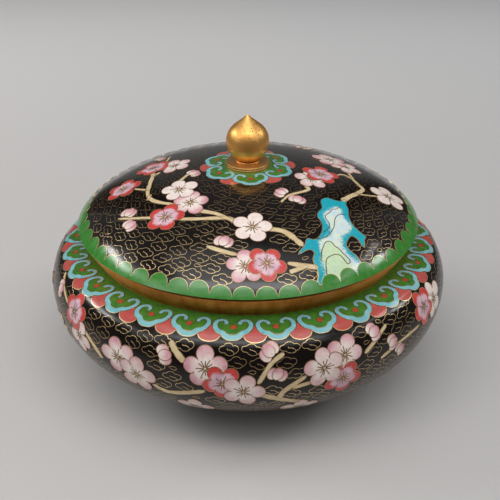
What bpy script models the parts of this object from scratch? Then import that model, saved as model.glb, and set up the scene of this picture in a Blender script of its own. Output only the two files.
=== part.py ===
# Round cloisonne trinket dish: a squat enamelled copper bowl on a brass foot, with a flared
# brass neck, and a domed enamelled lid that lifts off by a turned brass bud.
# All pieces are turned about the Z axis. The dish stands on the plane z = 0.

import math

import bmesh
import bpy

MM = 0.001

# Clearance that touching pieces keep to each other
GAP = 0.3 * MM

# Facets round a large piece and round the knob
BODY_FACETS = 60
KNOB_FACETS = 24

# Bowl body, from the level shoulder down to the flat base
BOWL_RADIUS = 76.0 * MM
BOWL_WALL = 2.4 * MM
SHOULDER_HEIGHT = 55.0 * MM
SHOULDER_SHELF = 6.9 * MM
SHOULDER_TURN = 9.0 * MM
SHOULDER_SLOPE = math.radians(60.0)
GIRTH_TURN = 18.0 * MM
BELLY_TURN = 26.0 * MM
BASE_TURN = 21.4 * MM
BASE_MARGIN = 0.3 * MM
MOUTH_LEDGE = 0.5 * MM

# Foot ring under the base
FOOT_RADIUS = 36.0 * MM
FOOT_WALL = 2.5 * MM
FOOT_HEIGHT = 2.7 * MM
FOOT_CHAMFER = 0.5 * MM

# Flared neck ring round the mouth
NECK_HEIGHT = 7.5 * MM
NECK_FLARE = 4.7 * MM
NECK_WALL = 1.3 * MM
NECK_BEAD = 0.45 * MM

# Lid shell: three arcs, each with the slope of the surface where it ends
LID_OVERHANG = 0.7 * MM
LID_WALL = 2.2 * MM
CROWN_SLOPE = math.radians(16.3)
HAUNCH_TURN = 87.0 * MM
HAUNCH_SLOPE = math.radians(30.2)
EDGE_TURN = 20.4 * MM
EDGE_SLOPE = math.radians(54.8)

# Lid rim: a flat flange under the shell and a spigot that drops into the neck
RIM_THICKNESS = 0.6 * MM
SPIGOT_DEPTH = 3.6 * MM
SPIGOT_WALL = 1.0 * MM
SPIGOT_CLEARANCE = 0.4 * MM

# Knob: bezel, disc, short neck and a round bud drawn up to a point
BEZEL_RADIUS = 8.4 * MM
BEZEL_THICKNESS = 0.25 * MM
DISC_GROOVE = 0.3 * MM
DISC_RADIUS = 8.2 * MM
DISC_THICKNESS = 0.7 * MM
STALK_RADIUS = 3.7 * MM
STALK_HEIGHT = 0.6 * MM
BUD_RADIUS = 8.0 * MM
BUD_SHOULDER = math.radians(40.0)
TIP_RADIUS = 0.3 * MM
TIP_RISE = 5.4 * MM

# Colour, roughness and metallic value of each finish
BLACK_ENAMEL = ((0.020, 0.012, 0.010, 1.0), 0.12, 0.0)
BAND_BRASS = ((0.420, 0.240, 0.070, 1.0), 0.32, 1.0)
KNOB_BRASS = ((0.560, 0.350, 0.110, 1.0), 0.24, 1.0)


def material(name, finish):
    """A Principled material of one colour, roughness and metallic value."""
    colour, roughness, metallic = finish
    made = bpy.data.materials.new(name)
    made.use_nodes = True
    shader = made.node_tree.nodes["Principled BSDF"]
    shader.inputs["Base Color"].default_value = colour
    shader.inputs["Roughness"].default_value = roughness
    shader.inputs["Metallic"].default_value = metallic
    made.diffuse_color = colour
    return made


def arc(centre, radius, start, end, steps):
    """Points (r, z) on an arc; the angle is the surface's slope, 0 at the top, growing outwards."""
    points = []
    for step in range(steps + 1):
        angle = start + (end - start) * step / steps
        points.append((centre[0] + radius * math.sin(angle), centre[1] + radius * math.cos(angle)))
    return points


def turned(name, profile, facets, finish):
    """A closed solid of revolution from a loop of (r, z) points, or an open line between two
    points on the axis."""
    mesh = bpy.data.meshes.new(name)
    shape = bmesh.new()
    verts = [shape.verts.new((r, 0.0, z)) for r, z in profile]
    edges = [shape.edges.new(pair) for pair in zip(verts, verts[1:])]
    if profile[0][0] > 0.0:
        edges.append(shape.edges.new((verts[-1], verts[0])))
    bmesh.ops.spin(
        shape,
        geom=verts + edges,
        cent=(0.0, 0.0, 0.0),
        axis=(0.0, 0.0, 1.0),
        angle=2.0 * math.pi,
        steps=facets,
        use_merge=True,
    )
    bmesh.ops.remove_doubles(shape, verts=shape.verts, dist=0.01 * MM)
    bmesh.ops.recalc_face_normals(shape, faces=shape.faces)
    shape.to_mesh(mesh)
    shape.free()
    mesh.materials.append(material(name + "_finish", finish))
    mesh.shade_smooth()
    mesh.set_sharp_from_angle(angle=math.radians(35.0))
    made = bpy.data.objects.new(name, mesh)
    bpy.context.scene.collection.objects.link(made)
    return made


# Heights and radii that follow from the driving sizes
BASE_HEIGHT = FOOT_HEIGHT + GAP
BASE_RADIUS = FOOT_RADIUS + BASE_MARGIN
TURN_CENTRE = (
    BOWL_RADIUS - GIRTH_TURN + (GIRTH_TURN - SHOULDER_TURN) * math.sin(SHOULDER_SLOPE),
    SHOULDER_HEIGHT - SHOULDER_TURN,
)
GIRTH_HEIGHT = TURN_CENTRE[1] - (GIRTH_TURN - SHOULDER_TURN) * math.cos(SHOULDER_SLOPE)
NECK_FOOT_RADIUS = TURN_CENTRE[0] - SHOULDER_SHELF
NECK_TOP_RADIUS = NECK_FOOT_RADIUS + NECK_FLARE
MOUTH_RADIUS = NECK_FOOT_RADIUS - NECK_WALL - MOUTH_LEDGE
NECK_FOOT_HEIGHT = SHOULDER_HEIGHT + GAP
NECK_TOP_HEIGHT = NECK_FOOT_HEIGHT + NECK_HEIGHT
RIM_HEIGHT = NECK_TOP_HEIGHT + GAP
LID_HEIGHT = RIM_HEIGHT + RIM_THICKNESS + GAP
LID_RADIUS = NECK_TOP_RADIUS + LID_OVERHANG


def belly_slope():
    """Slope, from the level, of the straight flank that touches the belly and base turns."""
    across = BOWL_RADIUS - BELLY_TURN - BASE_RADIUS
    up = GIRTH_HEIGHT - BASE_HEIGHT - BASE_TURN
    lean = math.asin((BASE_TURN - BELLY_TURN) / math.hypot(across, up))
    return math.atan2(up, across) + lean


def bowl_side(inset, steps):
    """Bowl profile from the mouth down to the axis, moved inwards by inset."""
    flank = math.pi - belly_slope()
    girth_centre = (BOWL_RADIUS - GIRTH_TURN, GIRTH_HEIGHT)
    belly_centre = (BOWL_RADIUS - BELLY_TURN, GIRTH_HEIGHT)
    base_centre = (BASE_RADIUS, BASE_HEIGHT + BASE_TURN)
    level = math.pi / 2.0
    points = [(MOUTH_RADIUS, SHOULDER_HEIGHT - inset)]
    points += arc(TURN_CENTRE, SHOULDER_TURN - inset, 0.0, SHOULDER_SLOPE, steps + 1)
    points += arc(girth_centre, GIRTH_TURN - inset, SHOULDER_SLOPE, level, steps)[1:]
    points += arc(belly_centre, BELLY_TURN - inset, level, flank, steps + 1)[1:]
    points += arc(base_centre, BASE_TURN - inset, flank, math.pi, steps)
    points.append((0.0, BASE_HEIGHT + inset))
    return points


def make_bowl_body():
    """Hollow copper body, enamelled outside and in, open at the mouth."""
    outside = bowl_side(0.0, 3)
    inside = bowl_side(BOWL_WALL, 2)
    return turned("bowl_body", outside[::-1] + inside, BODY_FACETS, BLACK_ENAMEL)


def make_foot_ring():
    """Plain brass ring that the dish stands on."""
    inner = FOOT_RADIUS - FOOT_WALL
    profile = [
        (FOOT_RADIUS, FOOT_HEIGHT),
        (FOOT_RADIUS, FOOT_CHAMFER),
        (FOOT_RADIUS - FOOT_CHAMFER, 0.0),
        (inner, 0.0),
        (inner, FOOT_HEIGHT),
    ]
    return turned("foot_ring", profile, BODY_FACETS, BAND_BRASS)


def neck_inner_radius(height):
    """Inside radius of the neck ring at a height above the table."""
    share = (height - NECK_FOOT_HEIGHT) / NECK_HEIGHT
    return NECK_FOOT_RADIUS - NECK_WALL + NECK_FLARE * share


def make_neck_ring():
    """Flared brass ring on the shoulder, with a fine bead at its foot and a rounded lip."""
    profile = [
        (NECK_FOOT_RADIUS - NECK_WALL, NECK_FOOT_HEIGHT),
        (NECK_FOOT_RADIUS + NECK_BEAD, NECK_FOOT_HEIGHT),
        (NECK_FOOT_RADIUS + NECK_BEAD, NECK_FOOT_HEIGHT + NECK_BEAD),
        (NECK_FOOT_RADIUS + NECK_FLARE * NECK_BEAD / NECK_HEIGHT, NECK_FOOT_HEIGHT + 2.0 * NECK_BEAD),
        (NECK_TOP_RADIUS, NECK_TOP_HEIGHT - NECK_BEAD),
        (NECK_TOP_RADIUS - NECK_BEAD, NECK_TOP_HEIGHT),
        (NECK_TOP_RADIUS - NECK_WALL, NECK_TOP_HEIGHT),
    ]
    return turned("neck_ring", profile, BODY_FACETS, BAND_BRASS)


def make_lid_rim():
    """Brass flange under the lid shell, with the spigot that centres the lid in the neck."""
    spigot_foot = RIM_HEIGHT - SPIGOT_DEPTH
    spigot_radius = neck_inner_radius(spigot_foot) - SPIGOT_CLEARANCE
    flange_top = RIM_HEIGHT + RIM_THICKNESS
    profile = [
        (spigot_radius - SPIGOT_WALL, spigot_foot),
        (spigot_radius, spigot_foot),
        (spigot_radius, RIM_HEIGHT),
        (LID_RADIUS, RIM_HEIGHT),
        (LID_RADIUS, flange_top),
        (spigot_radius - SPIGOT_WALL, flange_top),
    ]
    return turned("lid_rim", profile, BODY_FACETS, BAND_BRASS)


def lid_centres():
    """Centres and radii of the lid's crown, haunch and edge arcs, each tangent to the next."""
    edge = (
        LID_RADIUS - EDGE_TURN * math.sin(EDGE_SLOPE),
        LID_HEIGHT - EDGE_TURN * math.cos(EDGE_SLOPE),
    )
    haunch = (
        edge[0] - (HAUNCH_TURN - EDGE_TURN) * math.sin(HAUNCH_SLOPE),
        edge[1] - (HAUNCH_TURN - EDGE_TURN) * math.cos(HAUNCH_SLOPE),
    )
    crown_turn = HAUNCH_TURN + haunch[0] / math.sin(CROWN_SLOPE)
    crown = (0.0, haunch[1] - (crown_turn - HAUNCH_TURN) * math.cos(CROWN_SLOPE))
    return crown, crown_turn, haunch, edge


def lid_side(inset, steps):
    """Lid profile from the axis out to the edge, moved inwards by inset and cut level there."""
    crown, crown_turn, haunch, edge = lid_centres()
    last_slope = math.acos((LID_HEIGHT - edge[1]) / (EDGE_TURN - inset))
    points = arc(crown, crown_turn - inset, 0.0, CROWN_SLOPE, steps)
    points += arc(haunch, HAUNCH_TURN - inset, CROWN_SLOPE, HAUNCH_SLOPE, steps)[1:]
    points += arc(edge, EDGE_TURN - inset, HAUNCH_SLOPE, last_slope, steps)[1:]
    return points


def lid_apex():
    """Height of the middle of the lid above the table."""
    crown, crown_turn, _, _ = lid_centres()
    return crown[1] + crown_turn


def make_lid_shell():
    """Domed copper lid, enamelled outside and in, hollow underneath."""
    outside = lid_side(0.0, 4)
    inside = lid_side(LID_WALL, 3)
    return turned("lid_shell", outside + inside[::-1], BODY_FACETS, BLACK_ENAMEL)


def make_knob():
    """Turned brass bud on its disc and bezel, fixed to the middle of the lid."""
    seat = lid_apex() + GAP
    bezel_top = seat + BEZEL_THICKNESS
    disc_foot = bezel_top + DISC_GROOVE / 2.0
    disc_top = disc_foot + DISC_THICKNESS
    stalk_top = disc_top + STALK_HEIGHT
    under_slope = math.pi - math.asin(STALK_RADIUS / BUD_RADIUS)
    bud_height = stalk_top - BUD_RADIUS * math.cos(under_slope)
    shoulder_slope = math.pi / 2.0 - BUD_SHOULDER
    shoulder = (BUD_RADIUS * math.sin(shoulder_slope), bud_height + BUD_RADIUS * math.cos(shoulder_slope))
    profile = [
        (0.0, seat),
        (BEZEL_RADIUS, seat),
        (BEZEL_RADIUS, bezel_top),
        (DISC_RADIUS - DISC_GROOVE, disc_foot),
        (DISC_RADIUS, disc_foot + DISC_GROOVE),
        (DISC_RADIUS, disc_top),
        (STALK_RADIUS, disc_top),
    ]
    profile += arc((0.0, bud_height), BUD_RADIUS, under_slope, shoulder_slope, 8)
    tip = (TIP_RADIUS, shoulder[1] + TIP_RISE)
    lean = (math.cos(shoulder_slope), -math.sin(shoulder_slope))
    pull = TIP_RISE / 3.0
    first = (shoulder[0] - lean[0] * pull, shoulder[1] - lean[1] * pull)
    second = (tip[0] + pull * 0.35, tip[1] - pull)
    for step in range(1, 5):
        t = step / 4.0
        weights = ((1.0 - t) ** 3, 3.0 * t * (1.0 - t) ** 2, 3.0 * t * t * (1.0 - t), t ** 3)
        corners = (shoulder, first, second, tip)
        profile.append(tuple(sum(w * c[axis] for w, c in zip(weights, corners)) for axis in (0, 1)))
    profile.append((0.0, tip[1] + TIP_RADIUS / 2.0))
    return turned("knob", profile, KNOB_FACETS, KNOB_BRASS)


def main():
    for old in list(bpy.data.objects):
        bpy.data.objects.remove(old, do_unlink=True)
    make_bowl_body()
    make_foot_ring()
    make_neck_ring()
    make_lid_shell()
    make_lid_rim()
    make_knob()


main()
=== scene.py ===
# %% [markdown]
# # A lidded cloisonne dish
#
# The real dish is spun from copper. Fine gilt wires are bent by hand, stood on the copper and
# fixed, ground glass is fired into the cells between them, and all of it is rubbed level and
# polished. Brass rings finish the foot, the mouth and the lid's edge, and a turned brass bud is
# the handle.
#
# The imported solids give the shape. They have no pattern, so this script dresses them: each
# shell is turned again with finer facets, and the wires and the enamel cells are laid on it.
# Sizes are in millimetres until a mesh is made.

# %% The frame
import math

import bpy
import numpy as np
from mathutils import Matrix, Vector


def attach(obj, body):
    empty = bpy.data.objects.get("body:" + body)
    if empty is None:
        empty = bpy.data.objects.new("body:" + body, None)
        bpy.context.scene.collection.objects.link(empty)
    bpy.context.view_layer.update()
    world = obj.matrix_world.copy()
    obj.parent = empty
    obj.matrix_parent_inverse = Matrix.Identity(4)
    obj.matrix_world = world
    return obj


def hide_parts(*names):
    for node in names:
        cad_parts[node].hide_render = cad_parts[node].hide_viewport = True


MM = 0.001

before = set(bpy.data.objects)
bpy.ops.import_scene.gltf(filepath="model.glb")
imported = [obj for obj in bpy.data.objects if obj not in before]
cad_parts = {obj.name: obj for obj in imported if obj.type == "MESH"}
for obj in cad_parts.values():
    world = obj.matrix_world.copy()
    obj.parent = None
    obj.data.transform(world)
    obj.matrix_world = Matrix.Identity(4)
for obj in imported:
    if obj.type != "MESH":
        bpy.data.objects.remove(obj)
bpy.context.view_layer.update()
print("nodes:", ", ".join(sorted(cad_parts)))

# %% [markdown]
# ## The profiles
#
# Every round piece follows one line from its middle to its edge. The lines are runs of arcs
# that touch each other without a corner, as a spinner's wooden former has them. The same sizes
# are in the solids, and here each arc gets more points.

# %% The sizes of the bowl and the lid
SHOULDER_HEIGHT = 55.0
SHOULDER_CENTRE = (65.79, 46.0)
SHOULDER_TURN = 9.0
SHOULDER_SLOPE = math.radians(60.0)
GIRTH_CENTRE = (58.0, 41.5)
GIRTH_TURN = 18.0
BELLY_CENTRE = (50.0, 41.5)
BELLY_TURN = 26.0
FLANK_SLOPE = math.radians(140.82)
BASE_CENTRE = (36.3, 24.4)
BASE_TURN = 21.4
BASE_HEIGHT = 3.0
BOWL_WALL = 2.4
MOUTH_RADIUS = 57.1
NECK_FOOT_RADIUS = 58.894

LID_RADIUS = 64.294
LID_HEIGHT = 64.0
LID_WALL = 2.2
CROWN_SLOPE = math.radians(16.3)
HAUNCH_TURN = 87.0
HAUNCH_SLOPE = math.radians(30.2)
EDGE_TURN = 20.4
EDGE_SLOPE = math.radians(54.8)


def bend(centre, turn, start, end, steps):
    """Points (r, z) of an arc; its angle is the surface's slope, 0 where the surface is level."""
    angles = [start + (end - start) * step / steps for step in range(steps + 1)]
    return [(centre[0] + turn * math.sin(a), centre[1] + turn * math.cos(a)) for a in angles]


def line(start, end, steps):
    """Points (r, z) on a straight line, both ends with it."""
    shares = [step / steps for step in range(steps + 1)]
    return [tuple(a + (b - a) * share for a, b in zip(start, end)) for share in shares]


# %% The bowl's and the lid's lines
def parts(count, fineness):
    """How many parts an arc is cut into."""
    return max(2, round(count * fineness))


def chain(bends, inset, fineness):
    """Arcs that touch without a corner, moved inwards by inset."""
    points = []
    for centre, turn, start, end, count in bends:
        arc = bend(centre, turn - inset, start, end, parts(count, fineness))
        points += arc[1:] if points else arc
    return points


def bowl_line(inset, fineness):
    """The bowl's side from the shoulder down to the base, moved inwards by inset."""
    bends = [
        (SHOULDER_CENTRE, SHOULDER_TURN, 0.0, SHOULDER_SLOPE, 12),
        (GIRTH_CENTRE, GIRTH_TURN, SHOULDER_SLOPE, math.pi / 2, 10),
        (BELLY_CENTRE, BELLY_TURN, math.pi / 2, FLANK_SLOPE, 18),
    ]
    side = chain(bends, inset, fineness)
    base = bend(BASE_CENTRE, BASE_TURN - inset, FLANK_SLOPE, math.pi, parts(12, fineness))
    return side + line(side[-1], base[0], parts(12, fineness))[1:] + base[1:]


edge_centre = (
    LID_RADIUS - EDGE_TURN * math.sin(EDGE_SLOPE),
    LID_HEIGHT - EDGE_TURN * math.cos(EDGE_SLOPE),
)
haunch_centre = (
    edge_centre[0] - (HAUNCH_TURN - EDGE_TURN) * math.sin(HAUNCH_SLOPE),
    edge_centre[1] - (HAUNCH_TURN - EDGE_TURN) * math.cos(HAUNCH_SLOPE),
)
CROWN_TURN = HAUNCH_TURN + haunch_centre[0] / math.sin(CROWN_SLOPE)
crown_centre = (0.0, haunch_centre[1] - (CROWN_TURN - HAUNCH_TURN) * math.cos(CROWN_SLOPE))


def lid_line(inset, fineness):
    """The lid's side from the middle out to the edge, moved inwards by inset."""
    last = math.acos((LID_HEIGHT - edge_centre[1]) / (EDGE_TURN - inset))
    bends = [
        (crown_centre, CROWN_TURN, 0.0, CROWN_SLOPE, 26),
        (haunch_centre, HAUNCH_TURN, CROWN_SLOPE, HAUNCH_SLOPE, 14),
        (edge_centre, EDGE_TURN, HAUNCH_SLOPE, last, 12),
    ]
    return chain(bends, inset, fineness)


print("lid apex at", round(lid_line(0.0, 1.0)[0][1], 2), "mm, crown radius", round(CROWN_TURN, 1), "mm")

# %% [markdown]
# ## The camera
#
# The photograph is taken from a little above and about 30 cm away. A camera was fitted to the
# ellipses of the lid's edge and of the knob's disc, and these are its numbers.

# %% The camera at the photograph's angle
CAMERA_DISTANCE = 302.6
CAMERA_RISE = 25.536
CAMERA_YAW = 0.135
CAMERA_PITCH = -2.812
CAMERA_ROLL = -0.266
CAMERA_LENS = 56.42


def look_from(distance, rise, target, yaw, pitch, roll):
    """Matrix of a camera that looks at the target, then is swung a little off it."""
    rise, yaw, pitch, roll = (math.radians(angle) for angle in (rise, yaw, pitch, roll))
    place = Vector((0.0, -math.cos(rise), math.sin(rise))) * distance
    ahead = -place.normalized()
    right = ahead.cross(Vector((0.0, 0.0, 1.0))).normalized()
    up = right.cross(ahead)
    ahead = (ahead + math.tan(yaw) * right + math.tan(pitch) * up).normalized()
    right = ahead.cross(up).normalized()
    up = right.cross(ahead)
    right, up = (
        math.cos(roll) * right + math.sin(roll) * up,
        -math.sin(roll) * right + math.cos(roll) * up,
    )
    turn = Matrix((right, up, -ahead)).transposed().to_4x4()
    return Matrix.Translation(place + Vector(target)) @ turn


def added(name, data):
    """A new object in the scene."""
    made = bpy.data.objects.new(name, data)
    bpy.context.scene.collection.objects.link(made)
    return made


camera_data = bpy.data.cameras.new("camera")
camera_data.lens = CAMERA_LENS
camera_data.sensor_width = 36.0
camera_data.clip_start = 0.01
camera_data.clip_end = 20.0
camera = added("camera", camera_data)
aim = (0.0, 0.0, LID_HEIGHT * MM)
camera.matrix_world = look_from(
    CAMERA_DISTANCE * MM, CAMERA_RISE, aim, CAMERA_YAW, CAMERA_PITCH, CAMERA_ROLL
)
bpy.context.scene.camera = camera
print("camera at", [round(value, 4) for value in camera.matrix_world.translation])

# %% [markdown]
# ## The light
#
# Polished enamel and brass are mirrors, so the lamps are part of the look. The photograph
# shows a bright window on the lid's left, a long streak on each shoulder and a pale veil
# along the front of the lid. Mirrored back into the room these are a soft ceiling, a long
# window high in front with a glow under it, a window and a long strip on the left, and weaker
# ones on the right. Two small low lamps light the sides of the neck and of the knob. All are
# plain area lamps.


# %% Lamps round the dish
LAMP_AIM = Vector((0.0, 0.0, 0.05))


def lamp(name, azimuth, rise, distance, width, height, power):
    """A soft rectangular lamp that faces the dish; azimuth 0 is in front, 90 on the right."""
    data = bpy.data.lights.new(name, "AREA")
    data.shape = "RECTANGLE"
    data.size = width
    data.size_y = height
    data.energy = power
    azimuth, rise = math.radians(azimuth), math.radians(rise)
    level = math.cos(rise)
    away = Vector((math.sin(azimuth) * level, -math.cos(azimuth) * level, math.sin(rise)))
    turn = away.to_track_quat("Z", "Y").to_matrix().to_4x4()
    added(name, data).matrix_world = Matrix.Translation(away * distance + LAMP_AIM) @ turn


# Degrees round, degrees up, metres away, width and height in metres, watts.
lamp("ceiling", -6.0, 78.0, 0.97, 1.15, 0.85, 2.4)
lamp("ceiling_middle", -5.0, 72.0, 0.94, 1.0, 0.56, 1.6)
lamp("front_window", -4.0, 62.5, 0.91, 1.25, 0.2, 2.2)
lamp("front_glow", -4.0, 50.5, 0.93, 1.5, 0.26, 1.7)
lamp("left_window", -100.0, 30.5, 1.0, 0.44, 0.12, 1.8)
lamp("left_glow", -98.0, 38.0, 1.02, 0.6, 0.3, 0.3)
lamp("left_strip", -84.0, 34.0, 1.1, 1.2, 0.18, 1.3)
lamp("right_strip", 93.0, 42.5, 1.1, 0.9, 0.09, 0.9)
lamp("right_window", 99.0, 31.0, 1.0, 0.2, 0.12, 1.0)
lamp("low_left", -56.0, 24.0, 0.99, 0.3, 0.24, 0.32)
lamp("low_right", 58.0, 26.0, 0.98, 0.3, 0.24, 0.28)

world = bpy.data.worlds.new("room")
world.use_nodes = True
room = world.node_tree.nodes["Background"].inputs
room["Color"].default_value = (0.93, 0.96, 1.0, 1.0)
room["Strength"].default_value = 0.13
bpy.context.scene.world = world
bpy.context.scene.view_settings.view_transform = "Standard"

# %% [markdown]
# ## Shader maths
#
# A finish is built from nodes. So that its sums read as sums, a small class wraps a node's
# output and adds a Math node whenever two values are added or multiplied. All other nodes come
# from one method that takes the node's type, its settings and what goes into it.


# %% One output
class Signal:
    """An output of a node that can be used in a sum."""

    def __init__(self, finish, socket):
        self.finish = finish
        self.socket = socket

    def __add__(self, other):
        return self.finish.maths("ADD", self, other)

    def __sub__(self, other):
        return self.finish.maths("SUBTRACT", self, other)

    def __rsub__(self, other):
        return self.finish.maths("SUBTRACT", other, self)

    def __mul__(self, other):
        return self.finish.maths("MULTIPLY", self, other)

    def __truediv__(self, other):
        return self.finish.maths("DIVIDE", self, other)

    __radd__ = __add__
    __rmul__ = __mul__

    def ramp(self, low, high):
        """0 below low, 1 above high and a soft step between them."""
        settings = {"interpolation_type": "SMOOTHSTEP"}
        return self.finish.node("ShaderNodeMapRange", settings, {0: self, 1: low, 2: high})


# %% One finish
class Finish:
    """A material with one Principled shader, and the nodes that feed it."""

    def __init__(self, name):
        self.material = bpy.data.materials.new(name)
        self.material.use_nodes = True
        self.tree = self.material.node_tree
        self.shader = self.tree.nodes["Principled BSDF"]

    def feed(self, socket, value):
        if isinstance(value, Signal):
            self.tree.links.new(value.socket, socket)
        else:
            socket.default_value = value

    def node(self, kind, settings, sockets, out=0):
        made = self.tree.nodes.new(kind)
        for name, value in settings.items():
            setattr(made, name, value)
        for name, value in sockets.items():
            self.feed(made.inputs[name], value)
        return Signal(self, made.outputs[out])

    def maths(self, operation, *values):
        return self.node("ShaderNodeMath", {"operation": operation}, dict(enumerate(values)))

    def set(self, **values):
        """Feeds the shader's own sockets, named with _ for a blank."""
        for name, value in values.items():
            self.feed(self.shader.inputs[name.replace("_", " ")], value)

    def blend(self, share, first, second):
        """The first colour where share is 0, the second where it is 1."""
        settings = {"data_type": "RGBA"}
        return self.node("ShaderNodeMix", settings, {0: share, 6: first, 7: second}, out=2)

    def place(self):
        """Where a point is on the object, in metres."""
        return self.node("ShaderNodeTexCoord", {}, {}, out=3)

    def axes(self):
        """The x, y and z of that place."""
        place = {0: self.place()}
        return [self.node("ShaderNodeSeparateXYZ", {}, place, out=axis) for axis in range(3)]

    def grain(self, size, detail=2.0):
        """Soft noise from 0 to 1; size is how wide its patches are, in mm."""
        sockets = {"Vector": self.place(), "Scale": 1.0 / (size * MM), "Detail": detail}
        return self.node("ShaderNodeTexNoise", {}, sockets)

    def streaks(self, across, along, detail):
        """Soft noise on a plan of two signals, for marks that run one way."""
        plan = self.node("ShaderNodeCombineXYZ", {}, {0: across, 1: along})
        sockets = {"Vector": plan, "Scale": 1.0, "Detail": detail}
        return self.node("ShaderNodeTexNoise", {}, sockets)

    def specks(self, spacing, size, share):
        """Small round spots, 1 in a spot; share is how many places on the spacing have one."""
        where = {"Vector": self.place(), "Scale": 1.0 / (spacing * MM)}
        near = self.node("ShaderNodeTexVoronoi", {}, where)
        colour = self.node("ShaderNodeTexVoronoi", {}, where, out=1)
        luck = self.node("ShaderNodeSeparateColor", {}, {0: colour})
        spot = 1.0 - near.ramp(size / spacing * 0.6, size / spacing)
        return spot * luck.ramp(1.0 - share, 1.0 - share + 0.02)

    def mark(self, name):
        """A value that each point of the mesh carries."""
        return self.node("ShaderNodeAttribute", {"attribute_name": name}, {}, out=2)

    def bump(self, height, distance):
        """A fine relief; height is a signal and distance how deep it is, in mm."""
        sockets = {"Strength": 1.0, "Distance": distance * MM, "Height": height}
        return self.node("ShaderNodeBump", {}, sockets)


def paint(red, green, blue):
    """A colour of the usual 0 to 255 kind, as the shader wants it."""
    shares = [value / 255 for value in (red, green, blue)]
    return tuple(s / 12.92 if s < 0.04045 else ((s + 0.055) / 1.055) ** 2.4 for s in shares) + (1.0,)


print("a mid grey is", [round(value, 3) for value in paint(128, 128, 128)], "to the shader")

# %% [markdown]
# ## The floor
#
# The dish stands on a pale grey sheet of paper that curves up behind it, so no horizon shows. A
# curve stretched sideways would do. Here it is a plane, and its back edge is extruded in short
# steps along a quarter circle and then straight up. It is far larger than the dish, so the
# reflections in the enamel end nowhere.


# %% The paper sweep
SWEEP_SIZE = 4.0
SWEEP_BEND = 0.8
SWEEP_STEPS = 12
SWEEP_WALL = 2.0


def paper_sweep():
    """A wide sheet of paper in metres: level in front, curved up at the back."""
    bpy.ops.object.select_all(action="DESELECT")
    bpy.ops.mesh.primitive_plane_add(size=SWEEP_SIZE, location=(0.0, 0.0, 0.0))
    sweep = bpy.context.object
    sweep.name = "paper_sweep"
    bpy.ops.object.mode_set(mode="EDIT")
    bpy.ops.mesh.select_mode(type="EDGE")
    bpy.ops.mesh.select_all(action="DESELECT")
    bpy.ops.object.mode_set(mode="OBJECT")
    corners = sweep.data.vertices
    for edge in sweep.data.edges:
        edge.select = all(corners[corner].co.y > 0.0 for corner in edge.vertices)
    bpy.ops.object.mode_set(mode="EDIT")
    for step in range(SWEEP_STEPS):
        start, end = (math.pi / 2 * share / SWEEP_STEPS for share in (step, step + 1))
        ahead = SWEEP_BEND * (math.sin(end) - math.sin(start))
        rise = SWEEP_BEND * (math.cos(start) - math.cos(end))
        bpy.ops.mesh.extrude_edges_move(TRANSFORM_OT_translate={"value": (0.0, ahead, rise)})
    bpy.ops.mesh.extrude_edges_move(TRANSFORM_OT_translate={"value": (0.0, 0.0, SWEEP_WALL)})
    bpy.ops.object.mode_set(mode="OBJECT")
    bpy.ops.object.shade_smooth()
    return sweep


sweep = paper_sweep()
print("floor:", [round(value, 2) for value in sweep.dimensions], "m")

# %% [markdown]
# The paper's grey changes a little, as painted light and shade: lighter towards the back and the
# left, as the photograph's background is, and a painted shade, darker, beside and in front of the
# picture, which only the enamel mirrors.

# %% The paper's grey, with painted light and shade
paper = Finish("pale_paper")
across, back, _ = paper.axes()
# Painted light: the sheet is painted lighter towards the back and towards the left.
far = back.ramp(0.05, 0.7)
left = paper.blend(far, paint(203, 199, 196), paint(252, 248, 245))
right = paper.blend(far, paint(187, 185, 184), paint(236, 236, 236))
sheet = paper.blend(across.ramp(-0.6, 0.6), left, right)
# Painted shade: beside and in front of the picture the sheet is painted dark.
beside = paper.maths("ABSOLUTE", across) - back * 0.3
outside = beside.ramp(0.15, 0.4) + (0.0 - back).ramp(0.1, 0.22)
paper.set(
    Base_Color=paper.blend(paper.maths("MINIMUM", outside, 1.0), sheet, paint(112, 106, 100)),
    Roughness=0.6 + paper.grain(60.0) * 0.05,
    Specular_IOR_Level=0.25,
)
sweep.data.materials.append(paper.material)
print("paper:", paper.material.name, "with", len(paper.tree.nodes), "nodes")

# %% [markdown]
# ## Turning
#
# Each round piece is made as on a lathe: one point is drawn out along the piece's line, and the
# line is spun once round the axis. The spin can leave a mesh inside out, so its normals are set
# right once its ends are merged. Each piece also gets a map that unrolls it, so that a finish
# can run round it.


# %% Turning a line
def turned(name, outline, steps):
    """A round piece from a line of (r, z) points in mm, spun about the axis."""
    bpy.ops.object.select_all(action="DESELECT")
    points = list(outline)
    if points[0][0] > 0.0:
        points.append(points[0])
    start = Vector((points[0][0], 0.0, points[0][1])) * MM
    bpy.ops.mesh.primitive_plane_add(size=MM, location=start)
    piece = bpy.context.object
    piece.name = name
    bpy.ops.object.mode_set(mode="EDIT")
    bpy.ops.mesh.select_mode(type="VERT")
    bpy.ops.mesh.select_all(action="SELECT")
    bpy.ops.mesh.merge(type="CENTER")
    for (r0, z0), (r1, z1) in zip(points, points[1:]):
        step = ((r1 - r0) * MM, 0.0, (z1 - z0) * MM)
        bpy.ops.mesh.extrude_vertices_move(TRANSFORM_OT_translate={"value": step})
    bpy.ops.mesh.select_all(action="SELECT")
    bpy.ops.mesh.spin(steps=steps, angle=2 * math.pi, center=(0, 0, 0), axis=(0, 0, 1))
    bpy.ops.mesh.select_all(action="SELECT")
    bpy.ops.mesh.remove_doubles(threshold=0.002 * MM)
    bpy.ops.mesh.normals_make_consistent(inside=False)
    bpy.ops.object.mode_set(mode="OBJECT")
    bpy.ops.object.transform_apply(location=True, rotation=True, scale=True)
    unroll(piece, points)
    bpy.ops.object.shade_smooth_by_angle(angle=math.radians(32.0))
    return piece


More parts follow.
